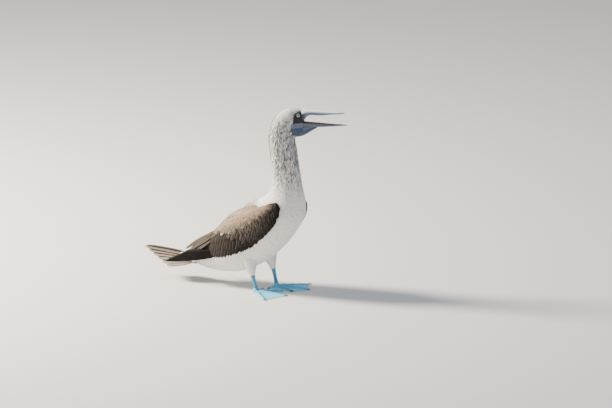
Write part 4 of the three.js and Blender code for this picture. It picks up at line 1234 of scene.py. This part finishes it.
# Tail feathers: root and tip of the middle pair and of the outermost pair, how many pairs, half width,
# how far a pair lies under the one further in and its left feather under its right one, and the slope of
# the tent at the middle and how much steeper it is outside.
TAIL_ROOT = ((-206, 2.2, 67), (-206, 15, 57))
TAIL_TIP = ((-349, 3, 76), (-272, 30, 47))
TAIL_PAIRS = 6
TAIL_HALF = 8.8
TAIL_STEP, TAIL_OVERLAP = 1.05, 0.5
TAIL_SLOPE, TAIL_STEEPER = 30, 24
# Flesh under the tail: its rings' x, then a table of x, height, half width and half height.
TAIL_CORE_X = (-199, -205, -212, -226, -238, -245.5)
TAIL_CORE = (
    (-246, -238, -226, -212, -197),
    (64.5, 63.5, 62, 61.5, 62),
    (1, 13, 16, 17.5, 17.5),
    (0.5, 4, 9, 13, 15),
)
# Tail coverts: name, upper side 1 or lower side -1, height of the roots and of the tips, and their count.
TAIL_COVERTS = (("tail_coverts_above", 1, 77, 73), ("tail_coverts_below", -1, 46, 47.5))
COVERT_COUNT = 46


class BOOBY_OT_tail(bpy.types.Operator):
    """Twelve tail feathers laid like a tent over their flesh, with coverts above and below"""
    bl_idname = "booby.tail"
    bl_label = "Tail"

    def execute(self, context):
        """Pairs of long vanes whose roots and tips move evenly from the middle pair to the outer one, each
        tucked under the last, and shorter rounded vanes over and under their roots."""
        look = plumage_settings()
        rng = np.random.default_rng(3)
        material = plumage("Pale tail feathers with dark shafts", 0.8, 0.72, 0.05, 0.2, 0.2)
        cream, white = shade(look.cream) * 0.72, shade(look.white)
        self.core(material, white)

        u = np.repeat(np.linspace(0, 1, TAIL_PAIRS), 2)
        sign = np.tile([-1.0, 1.0], TAIL_PAIRS)
        rank = np.repeat(np.arange(TAIL_PAIRS), 2)
        ends = []
        for inner, outer in (TAIL_ROOT, TAIL_TIP):
            place = np.array(inner) * (1 - u[:, None]) + np.array(outer) * u[:, None]
            place[:, 1] *= sign
            place[:, 2] -= TAIL_STEP * rank + TAIL_OVERLAP * (sign > 0)
            ends.append(place)
        slope = np.radians(TAIL_SLOPE + TAIL_STEEPER * u)
        face = np.stack([0 * u, sign * np.sin(slope), np.cos(slope)], 1)
        spine, up = straight(*ends, face, LONG_STATIONS, 2.0)
        outer, inner_web = u[:, None], -sign[:, None]

        def paint(s, c):
            body = blend(cream, TAIL_BROWN, 0.75 - 0.6 * outer)
            streak = 0.8 * smooth(c * inner_web, 0.2, 0.8) * smooth(s, 0.1, 0.3) * (1 - 0.35 * outer)
            streak = np.maximum(streak, (0.75 - 0.3 * outer) * smooth(-c * inner_web, 0.55, 1.0))
            streak = np.maximum(streak, 0.9 * hump(c, 0, 0.12))
            return blend(blend(body, TAIL_DUSK, streak), cream, 0.6 * smooth(s, 0.93, 1.0))

        vanes("tail_feathers", spine, up, TAIL_HALF, BLUNT, LONG_STATIONS, SEVEN, paint,
              (0.1 + 0.8 * rank / TAIL_PAIRS, np.where(sign > 0, 0.7, 0.3)), material, "plumage_tail",
              thick=0.4, camber=0.04, shaft=0.3)
        for name, level, root_z, tip_z in TAIL_COVERTS:
            lane = rng.uniform(-1, 1, COVERT_COUNT)
            lane = np.sort(lane)[rng.permutation(COVERT_COUNT)]
            back = rng.uniform(0, 1, COVERT_COUNT)
            arch = 11 * lane ** 2
            start = np.stack([-190 - 24 * back, 15 * lane, root_z - level * (arch + 5 * back)], 1)
            tip_x = -222 - 30 * back + 6 * np.abs(lane)
            end = np.stack([tip_x, 18 * lane, tip_z - level * (arch + 3 * back)], 1)
            face = unit(np.stack([0 * lane, 0.8 * lane, np.full(COVERT_COUNT, float(level))], 1))
            spine, up = straight(start, end, face, SMALL_STATIONS, 2.0)
            spine = spine + up * (0.6 * back)[:, None, None]
            warm = rng.uniform(0, 1, COVERT_COUNT)[:, None]

            def pale(s, c):
                return blend(cream, white, smooth(s, 0.0, 0.4)) * (1 - 0.06 * warm)[..., None]

            vanes(name, spine, up, 5.5, CONTOUR, SMALL_STATIONS, FIVE, pale,
                  (0.5 + 0.45 * lane, 0.1 + 0.8 * back), material, "plumage_tail",
                  thick=0.3, camber=0.08, soft=0.5)
        return {"FINISHED"}

    def core(self, material, colour):
        """Flesh that carries the tail feathers: oval rings that close toward the rear."""
        x = np.array(TAIL_CORE_X)
        height, half, thick = (np.interp(x, TAIL_CORE[0], row)[:, None] for row in TAIL_CORE[1:])
        a = turn(32)
        rings = np.stack([x[:, None] + 0 * a, half * np.sin(a), height + thick * np.cos(a)], -1)
        form = shell(rings, colour)
        put_mesh("tail_core", form, material, "plumage_tail", ("tail",), barb_map(form, (0, 1)))


# Bill in side view: x, upper edge z, lower edge z, half width.
UPPER_BILL = (
    (90, 473, 453, 9), (97, 478.0, 449.2, 12.6), (101.3, 478.5, 449, 13.2), (105, 478.4, 454, 12.6),
    (110, 478.2, 460, 11.6), (120, 477.6, 464.4, 10), (132, 476.9, 464, 8.6), (146, 476, 464, 7.3),
    (164, 474.8, 465.8, 5.8), (187, 473.5, 468, 3.8), (202, 472.8, 469.6, 2), (207, 471.6, 470.9, 0.5),
)
LOWER_BILL = (
    (88, 445, 437, 9), (96, 447.6, 434.4, 12.2), (101.3, 447.8, 434, 12.4), (112, 447.4, 434, 10.9),
    (126, 446.8, 434, 9.3), (140, 446.2, 434, 7.8), (158, 445.2, 435.2, 6.2), (182, 443.8, 437.2, 4.2),
    (206, 442.2, 439.4, 2), (216, 440.9, 440.3, 0.5),
)
# Throat pouch in side view: x, lowest z, half width, and the height of its upper edge inside the jaw.
POUCH = (
    (96, 411.5, 12.2), (101.3, 411, 12), (108, 414.5, 10.6), (116, 419.5, 9), (126, 426, 6.8),
    (134, 430.5, 4.8), (138.6, 434.6, 0.8),
)
POUCH_TOP = 440
BILL_AROUND = 72


def mandible(stations, up):
    """One half of the bill: rings of sine and cosine, rounded over the ridge (share 0.22 + 0.78 cos^0.8)
    and flatter toward the mouth (0.22 + 0.22 cos), with a groove low on the side and a hollow inside.
    Gives rings, and for each point its share of the height, its x and its cosine."""
    t = np.linspace(0, len(stations) - 1, 130)
    x, top, bottom, half = catmull(stations, t).T[..., None]
    edge, ridge = (bottom, top) if up else (top, bottom)
    a = (np.arange(BILL_AROUND) + 0.5) * 2 * np.pi / BILL_AROUND
    c, s = np.cos(a), np.sin(a)
    share = np.where(c > 0, 0.22 + 0.78 * np.abs(c) ** 0.8, 0.22 * (1 + c))
    out = np.sign(s) * np.abs(s) ** 0.75
    taper = smooth(x, 99, 108) * smooth(-x, -200, -180)
    groove = 0.75 * taper * hump(share, 0.5, 0.05) * (c > 0)
    hollow = np.where(c < 0, np.sqrt(np.abs(c)), 0) * 0.9 * taper
    height = edge + (ridge - edge) * share + hollow * (1 if up else -1)
    x, y, height, share, c = np.broadcast_arrays(x, (half - groove) * out, height, share, c)
    return np.stack([x, y, height], -1), share, x, c


class BOOBY_OT_bill(bpy.types.Operator):
    """Long open bill with side grooves and a pale ridge, the lining of the mouth and the throat pouch"""
    bl_idname = "booby.bill"
    bl_label = "Bill"

    def execute(self, context):
        """Two mandibles from their side views, the lining of the mouth, and the pouch as oval rings that
        hang under the lower mandible and get smaller forward."""
        bare = bare_settings()
        bill, culmen, face = shade(bare.bill), shade(bare.culmen), shade(bare.face)
        keratin = horn("Blue-grey bill horn", 0.38, 2.2, 0.12)

        rings, share, x, c = mandible(UPPER_BILL, True)
        colour = blend(bill, culmen, smooth(share, 0.52, 0.85))
        colour = blend(colour, face, 0.8 * smooth(-x, -112, -100) * smooth(-share, -0.85, -0.6))
        colour = blend(colour, BILL_GROOVE, 0.7 * hump(share, 0.5, 0.06) * (c > 0) * smooth(-x, -196, -170))
        colour = blend(colour, BILL_TIP, 0.6 * smooth(x, 180, 204))
        colour = blend(colour, PALATE, 0.85 * smooth(-c, 0.1, 0.6))
        put_mesh("bill_upper_horn", shell(turned(rings), colour), keratin, "bill", ("bill_upper",))

        rings, share, x, c = mandible(LOWER_BILL, False)
        colour = blend(bill * 0.48, JAW_STAIN, 0.7 * hump(share, 0.45, 0.2) * (c > 0))
        colour = blend(colour, bill * 0.6, smooth(share, 0.75, 1.0))
        colour = blend(colour, BILL_TIP, 0.5 * smooth(x, 190, 214))
        colour = blend(colour, JAW_FLOOR, 0.8 * smooth(-c, 0.1, 0.6))
        put_mesh("bill_lower_horn", shell(turned(rings), colour), keratin, "bill", ("bill_lower",))

        moist = skinlike("Moist mouth lining", 0.35, 2.5, 0.2, coat=0.4)
        put_mesh("mouth_lining", self.mouth(shade(bare.gape)), moist, "bare_skin")
        stretchy = skinlike("Bare throat skin, finely wrinkled", 0.5, 1.8, 0.3)
        x, low, half = catmull(POUCH, np.linspace(0, len(POUCH) - 1, 70)).T[..., None]
        a = turn(56)
        drop = 0.5 - 0.5 * np.cos(a)
        wrinkle = 0.14 * np.sin(x * 1.9 + 2.2 * np.sin(3 * a)) * np.sin(a / 2) ** 2
        height = POUCH_TOP + (low - POUCH_TOP) * drop + wrinkle
        rings = np.stack([x + 0 * a, (half + 0.4 * wrinkle) * np.sin(a), height], -1)
        colour = blend(shade(bare.gular), bill * 0.7, smooth(-drop, -0.6, -0.3))
        put_mesh("throat_pouch", shell(turned(rings), colour), stretchy, "bare_skin", ("gular_pouch",))
        return {"FINISHED"}

    def mouth(self, gape):
        """A thin curved sheet in each corner of the mouth, and the tongue, a flat taper."""
        forms = []
        rear, low = 96, 446.8
        for sign in (-1, 1):
            v, w = grid(np.linspace(0, 1, 24), turn(28))
            front = 102.0 + 7.5 * v ** 1.6
            y = 10.6 - 1.6 * v - 1.5 * np.sin(np.pi * v) + 0.8 * np.sin(w)
            x = (front + rear) / 2 + (front - rear) / 2 * np.cos(w)
            forms.append(shell(turned(np.stack([x, sign * y, low + 13.5 * v], -1)), gape))
        u, v = grid(np.linspace(0, 1, 40), turn(24))
        broad = 3.6
        wide = broad * (1 - u ** 2) ** 0.5 + 0.2
        rise = 447.4 - 0.8 * u + 0.9 * np.sin(v) * wide / broad
        tongue = np.stack([rear + 1 + 22 * u, wide * np.cos(v), rise], -1)
        forms.append(shell(turned(tongue), blend(gape, TONGUE, 0.5)))
        return gathered(forms)


# The eye looks this far forward of straight out. The cornea's bulge, and from the line of sight outward
# in radians: the edges of pupil, iris and dark rim, and where the white begins.
SIGHT_AHEAD = math.radians(12)
CORNEA = 0.45
PUPIL_EDGE, IRIS_EDGE, WHITE_FROM = (0.29, 0.33), (0.54, 0.6), (0.72, 0.82)
# Half the lid's opening across and upward, and the lid's own radius.
LID_WIDE, LID_TALL, LID_TUBE = 4.9, 4.1, 1.1


class BOOBY_OT_eyes(bpy.types.Operator):
    """Eyes with pale iris and dark pupil, set in rings of bare lid"""
    bl_idname = "booby.eyes"
    bl_label = "Eyes"

    def execute(self, context):
        """Each ball is a sphere with a low bulge for the cornea, coloured by the angle from the line of
        sight. Each lid is a ring: a tube of oval section round the opening."""
        bare = bare_settings()
        iris = shade(bare.iris)
        depth = cheek(EYE_X, EYE_Z) + EYE_OUT - EYE_BALL
        wet = wet_eye()
        rim = skinlike("Lid skin", 0.6, 1.2, 0.1)
        up = np.array([0.0, 0.0, 1.0])
        lids = []
        for name, sign in (("eye_left", 1), ("eye_right", -1)):
            centre = np.array([EYE_X, sign * depth, EYE_Z])
            sight = np.array([math.sin(SIGHT_AHEAD), sign * math.cos(SIGHT_AHEAD), 0])
            across = np.array([math.cos(SIGHT_AHEAD), -sign * math.sin(SIGHT_AHEAD), 0])
            off, around = grid(np.linspace(0.01, np.pi - 0.01, 90), turn(64))
            outward = np.cos(around)[..., None] * across + np.sin(around)[..., None] * up
            local = np.cos(off)[..., None] * sight + np.sin(off)[..., None] * outward
            ball = centre + (EYE_BALL + CORNEA * hump(off, 0, 0.5))[..., None] * local
            grain = 0.12 * np.sin(around * 23) * np.sin(off * 31)
            colour = blend(PUPIL, iris, smooth(off, *PUPIL_EDGE))
            colour = blend(colour, iris * 0.6, (0.35 + grain) * hump(off, 0.36, 0.06))
            colour = blend(colour, IRIS_RIM, smooth(off, *IRIS_EDGE))
            colour = blend(colour, EYE_WHITE, smooth(off, *WHITE_FROM))
            put_mesh(name + "_ball", shell(turned(ball), colour), wet, "eye", (name,))
            ring, tube = grid(turn(72), turn(16))
            wide, tall = (half + LID_TUBE * np.cos(tube) for half in (LID_WIDE, LID_TALL))
            out = np.sqrt(EYE_BALL ** 2 - LID_WIDE ** 2) + 0.2 + 0.9 * np.sin(tube)
            lid = centre + (wide * np.cos(ring))[..., None] * across + (tall * np.sin(ring))[..., None] * up
            lids.append(closed_ring(turned(lid + out[..., None] * sight), shade(bare.face)))
        put_mesh("eyelids", gathered(lids), rim, "bare_skin")
        return {"FINISHED"}


# The webs' edges are drawn in to this share of the straight line between toe tips. Past the outermost
# toes the foot is half a toe wide, and round the heel it has a least radius.
WEB_DRAWN, TOE_SIDE, HEEL_RADIUS = 0.96, 3.6, 7.6


def web_reach(headings, lengths, theta):
    """How far the foot reaches at a heading from the heel: along the webs' edges from toe tip to toe tip,
    each drawn in by a curve; past the outermost toes, the toe's own side, half width over the sine."""
    tips = np.stack([lengths * np.cos(headings), lengths * np.sin(headings)], 1)
    edge = []
    s = np.linspace(0, 1, 40)[:, None]
    for first, second in zip(tips[:-1], tips[1:]):
        pull = WEB_DRAWN * (first + second) / 2
        edge.append((1 - s) ** 2 * first + 2 * s * (1 - s) * pull + s ** 2 * second)
    edge = np.vstack(edge)
    angle = np.unwrap(np.arctan2(edge[:, 1], edge[:, 0]))
    order = np.argsort(angle)
    reach = np.interp(theta, angle[order], np.hypot(*edge.T)[order])
    past = np.maximum(headings.min() - theta, theta - headings.max())
    side = TOE_SIDE / np.sin(np.clip(past, 1e-3, np.pi / 2))
    return np.maximum(np.where(past > 0, np.minimum(side, reach), reach), HEEL_RADIUS)


class BOOBY_OT_legs(bpy.types.Operator):
    """Scaled shanks, fully webbed feet and claws"""
    bl_idname = "booby.legs"
    bl_label = "Legs and feet"

    def execute(self, context):
        """The shank is a tube. The foot is a height over its own polar grid about the heel. Claws are
        hooked cones off the toes' ends."""
        bare = bare_settings()
        scaly = skinlike("Blue leg skin with small plates", 0.42, 2.4, 0.35, coat=0.1)
        webbed = skinlike("Blue web skin, netted with fine scales", 0.4, 2.2, 0.22, coat=0.12, fine_mm=0.9)
        clawed = horn("Grey claw horn", 0.4, 1.2, 0.08)
        for side, leg in LEGS.items():
            self.shank(side, leg, scaly, shade(bare.foot))
            self.foot(side, leg, webbed, shade(bare.foot), shade(bare.web))
            self.claws(side, leg, clawed, shade(bare.claw))
        return {"FINISHED"}

    def shank(self, side, leg, material, colour):
        """A tube from inside the thigh's feathers to the heel, with scutes down its front."""
        ankle = (*leg["heel"], ANKLE - 3)
        s, angle = grid(np.linspace(-0.16, 1, 110), turn(64, 360))
        radius = np.interp(s, *SHANK) * (1 - 0.35 * smooth(-s, 0.0, 0.16))
        scute = 0.22 * np.abs(np.sin(np.pi * s * SCUTES)) * smooth(np.cos(np.radians(angle)), 0.1, 0.6)
        rings = limb(leg["hock"], ankle, s, angle, radius + scute, SHANK_SQUASH)
        # Deeper blue toward the hock: painted shade under the thigh's feathers.
        colour_with_painted_hock_shade = blend(colour * 0.82, colour, smooth(s, 0.0, 0.4))
        put_mesh("leg_" + side, shell(rings, colour_with_painted_hock_shade), material, "foot_skin", ("shank_" + side,))

    def foot(self, side, leg, material, toe_colour, web_colour_with_painted_light):
        """A height over a polar grid: thin web between the toes, a round ridge along each toe with a
        swelling at each joint, and a dome over the heel. The grid goes out on top and back below."""
        toes = sorted(leg["toes"], key=leg["toes"].get)
        headings = np.radians([leg["toes"][toe] for toe in toes])
        lengths = np.array([TOES[toe][0] for toe in toes], float)
        low, high = headings[0] - 0.5, headings[-1] + 0.5
        theta = np.concatenate([np.linspace(low, high, 420), np.linspace(high, low + 2 * np.pi, 42)[1:-1]])
        nearer = np.where(theta > (high + low) / 2 + np.pi, theta - 2 * np.pi, theta)
        reach = web_reach(headings, lengths, nearer)
        share = np.concatenate([np.linspace(0.0, 1, 100)[1:], [1.0], np.linspace(1, 0, 12)[1:-1]])[:, None]
        top = np.concatenate([np.ones(99), np.zeros(11)])[:, None]
        r = share * reach
        x, y = r * np.cos(theta), r * np.sin(theta)
        height = WEB_THICK + 0.16 * np.sin(theta * 38) * smooth(r, 18, 50)
        toe_share = np.zeros(r.shape)
        for toe, heading in zip(toes, headings):
            length, root, tip = TOES[toe]
            ahead = x * math.cos(heading) + y * math.sin(heading)
            aside = -x * math.sin(heading) + y * math.cos(heading)
            l = np.clip(ahead / length, 0, 1)
            half = root + (tip - root) * l
            tall = 1.9 * (root + (tip - root) * l ** 0.8) * (0.93 + 0.07 * np.cos(l * 2 * np.pi * 4))
            tall = tall * np.sqrt(np.clip(1.02 - ((ahead - length * 0.5) / (length * 0.5)) ** 8, 0, 1))
            round_off = np.sqrt(np.clip(1 - (aside / (half * 1.12)) ** 2, 0, 1)) * (ahead > 0)
            height = np.maximum(height, tall * round_off + 0.9 * (round_off > 0))
            toe_share = np.maximum(toe_share, hump(aside, 0, half * 0.95) * smooth(ahead, 2, 8))
        height = np.maximum(height, HEEL_TALL * np.sqrt(np.clip(1 - (r / HEEL_WIDE) ** 2, 0, 1)))
        height = np.maximum(height * (1 - 0.65 * smooth(share, 0.975, 1.0)), 0.25) * top + 0.02
        rings = np.stack([x + leg["heel"][0], y + leg["heel"][1], height], -1)
        # The web is paler than the toes: partly the web skin's own colour, partly painted light on its
        # upward face.
        colour = blend(web_colour_with_painted_light, toe_colour, toe_share)
        # Lines of deeper blue along the web's creases: painted shade.
        painted_fold_shade = 0.5 * hump(np.sin(theta * 19), 0, 0.18) * smooth(r, 20, 60) * (1 - toe_share)
        form = shell(rings, blend(colour, web_colour_with_painted_light * 0.7, painted_fold_shade))
        nodes, maps = ("foot_" + side,), barb_map(form, (0, 1))
        put_mesh("webbed_foot_" + side, form, material, "foot_skin", nodes, maps)

    def claws(self, side, leg, material, colour):
        """Cones along each toe's line that rise a little and then hook down to the floor."""
        forms = []
        heel = np.array([*leg["heel"], 0.0])
        s, a = grid(np.linspace(0, 1, 20), turn(20))
        for toe, degrees in leg["toes"].items():
            heading = math.radians(degrees)
            length, _, tip = TOES[toe]
            ahead = np.array([math.cos(heading), math.sin(heading), 0])
            aside = np.array([-math.sin(heading), math.cos(heading), 0])
            radius = 1.9 * (tip / 2.5) * (1 - s) ** 0.75 + 0.15
            reach = length - 1.5 + (CLAW_LENGTH + 1.8) * s
            rise = tip + 0.6 + (0.7 - tip) * s ** 2 + 0.6 * np.sin(np.pi * s)
            rings = heel + ahead * reach[..., None] + aside * (0.75 * radius * np.sin(a))[..., None]
            rings[..., 2] = np.maximum(rise + radius * np.cos(a), 0.1)
            forms.append(shell(rings, blend(colour, colour * 0.45, s)))
        nodes = tuple("claw_" + toe + "_" + side for toe in leg["toes"])
        put_mesh("claws_" + side, gathered(forms), material, "claw", nodes)


# The photograph's view: azimuth round from the bird's right side, elevation, distance, the point it looks
# at along the picture's right and up, and the size of a pixel of a 612 pixel wide frame at the bird.
AZIMUTH, ELEVATION = math.radians(27), math.radians(14)
DISTANCE = 20000.0
LOOK_RIGHT, LOOK_UP = 101.7, 218.0
PIXEL_MM, FRAME_WIDTH = 2.55, 612
SENSOR = 36.0
# Lights: name, place from the bird along right, up and forward, distance and size in metres, power as a
# share of the key's, and colour.
LIGHTS = (
    ("Key", (-0.83, 0.55, 0.04), 3.2, 0.8, 1.0, "#fff4e6"),
    ("Sky", (0.5, 0.75, -0.5), 4.0, 3.0, 0.15, "#cfe0f7"),
)
SURROUNDINGS = "#e3e8f0"
FLOOR_RADIUS, FLOOR_THICK, FLOOR_GAP = 14000, 20.0, 0.3


def frame_at(place, right, up, forward):
    """Matrix whose columns are right, up, back and the place."""
    columns = np.stack([right, up, -forward, place], 1)
    return Matrix(np.vstack([columns, [0, 0, 0, 1]]).tolist())


class BOOBY_OT_stage(bpy.types.Operator):
    """Pale floor, soft light from the upper left, pale surroundings and the camera"""
    bl_idname = "booby.stage"
    bl_label = "Stage"

    def execute(self, context):
        """The floor is a wide disc on a polar grid. The camera stands far off with a long lens."""
        stage = context.scene.booby_stage
        r, a = grid(np.linspace(0.5, FLOOR_RADIUS, 24), turn(96))
        rings = np.stack([r * np.cos(a), r * np.sin(a), np.full(r.shape, -FLOOR_GAP)], -1)
        rings = np.concatenate([rings, rings[::-1] - np.array([0, 0, FLOOR_THICK])])
        paint = matt_floor(tuple(stage.floor[:]) + (1.0,))
        floor = put_mesh("stage_floor", shell(rings), paint, None, smoothed=False)

        right = np.array([math.cos(AZIMUTH), math.sin(AZIMUTH), 0])
        level = np.array([-math.sin(AZIMUTH), math.cos(AZIMUTH), 0])
        forward = level * math.cos(ELEVATION) - np.array([0, 0, math.sin(ELEVATION)])
        up = np.cross(right, forward)
        target = (right * LOOK_RIGHT + up * LOOK_UP + SHIFT) * MM
        for name, toward, distance, size, power, colour in LIGHTS:
            toward = unit(toward[0] * right + toward[1] * up + toward[2] * forward)
            lamp = bpy.data.lights.new(name, "AREA")
            lamp.shape, lamp.size = "DISK", size
            lamp.energy, lamp.color = stage.key_power * power, linear(colour)[:3]
            sideways = unit(np.cross([0.0, 0.0, 1.0], toward))
            place = frame_at(target + toward * distance, sideways, np.cross(toward, sideways), -toward)
            self.put(context, name, lamp, place)
        world = bpy.data.worlds.new("Pale surroundings")
        world.use_nodes = True
        surroundings = world.node_tree.nodes["Background"].inputs
        surroundings["Color"].default_value = linear(SURROUNDINGS)
        surroundings["Strength"].default_value = stage.fill
        context.scene.world = world

        camera = bpy.data.cameras.new("Camera")
        camera.sensor_fit, camera.sensor_width = "HORIZONTAL", SENSOR
        camera.lens = SENSOR * DISTANCE / PIXEL_MM / FRAME_WIDTH
        camera.clip_start, camera.clip_end = 0.1, 200.0
        camera.dof.use_dof = False
        place = frame_at(target - forward * DISTANCE * MM, right, up, forward)
        context.scene.camera = self.put(context, "Camera", camera, place)
        return {"FINISHED"}

    def put(self, context, name, data, place):
        """Links an object with a place into the scene."""
        holder = bpy.data.objects.new(name, data)
        context.scene.collection.objects.link(holder)
        holder.matrix_world = place
        return holder


OPERATORS = (
    BOOBY_OT_skin, BOOBY_OT_body_plumage, BOOBY_OT_neck_plumage, BOOBY_OT_thigh_plumage, BOOBY_OT_wings,
    BOOBY_OT_tail, BOOBY_OT_bill, BOOBY_OT_eyes, BOOBY_OT_legs, BOOBY_OT_stage,
)


class BOOBY_PT_panel(bpy.types.Panel):
    """Buttons for each group of pieces, and the settings they read"""
    bl_idname = "BOOBY_PT_panel"
    bl_label = "Blue-footed booby"
    bl_space_type = "VIEW_3D"
    bl_region_type = "UI"
    bl_category = "Booby"

    def draw(self, context):
        for operator in OPERATORS:
            self.layout.operator(operator.bl_idname)
        scene = context.scene
        for group in (scene.booby_plumage, scene.booby_bare_parts, scene.booby_stage):
            box = self.layout.box()
            for key in group.__annotations__:
                box.prop(group, key)


CLASSES = (BoobyPlumage, BoobyBareParts, BoobyStage, *OPERATORS, BOOBY_PT_panel)


def register():
    for item in CLASSES:
        bpy.utils.register_class(item)
    bpy.types.Scene.booby_plumage = bpy.props.PointerProperty(type=BoobyPlumage)
    bpy.types.Scene.booby_bare_parts = bpy.props.PointerProperty(type=BoobyBareParts)
    bpy.types.Scene.booby_stage = bpy.props.PointerProperty(type=BoobyStage)


def unregister():
    del bpy.types.Scene.booby_stage
    del bpy.types.Scene.booby_bare_parts
    del bpy.types.Scene.booby_plumage
    for item in reversed(CLASSES):
        bpy.utils.unregister_class(item)


def main():
    register()
    bpy.ops.booby.skin()
    bpy.ops.booby.body_plumage()
    bpy.ops.booby.neck_plumage()
    bpy.ops.booby.thigh_plumage()
    bpy.ops.booby.wings()
    bpy.ops.booby.tail()
    bpy.ops.booby.bill()
    bpy.ops.booby.eyes()
    bpy.ops.booby.legs()
    bpy.ops.booby.stage()


if __name__ == "__main__":
    main()
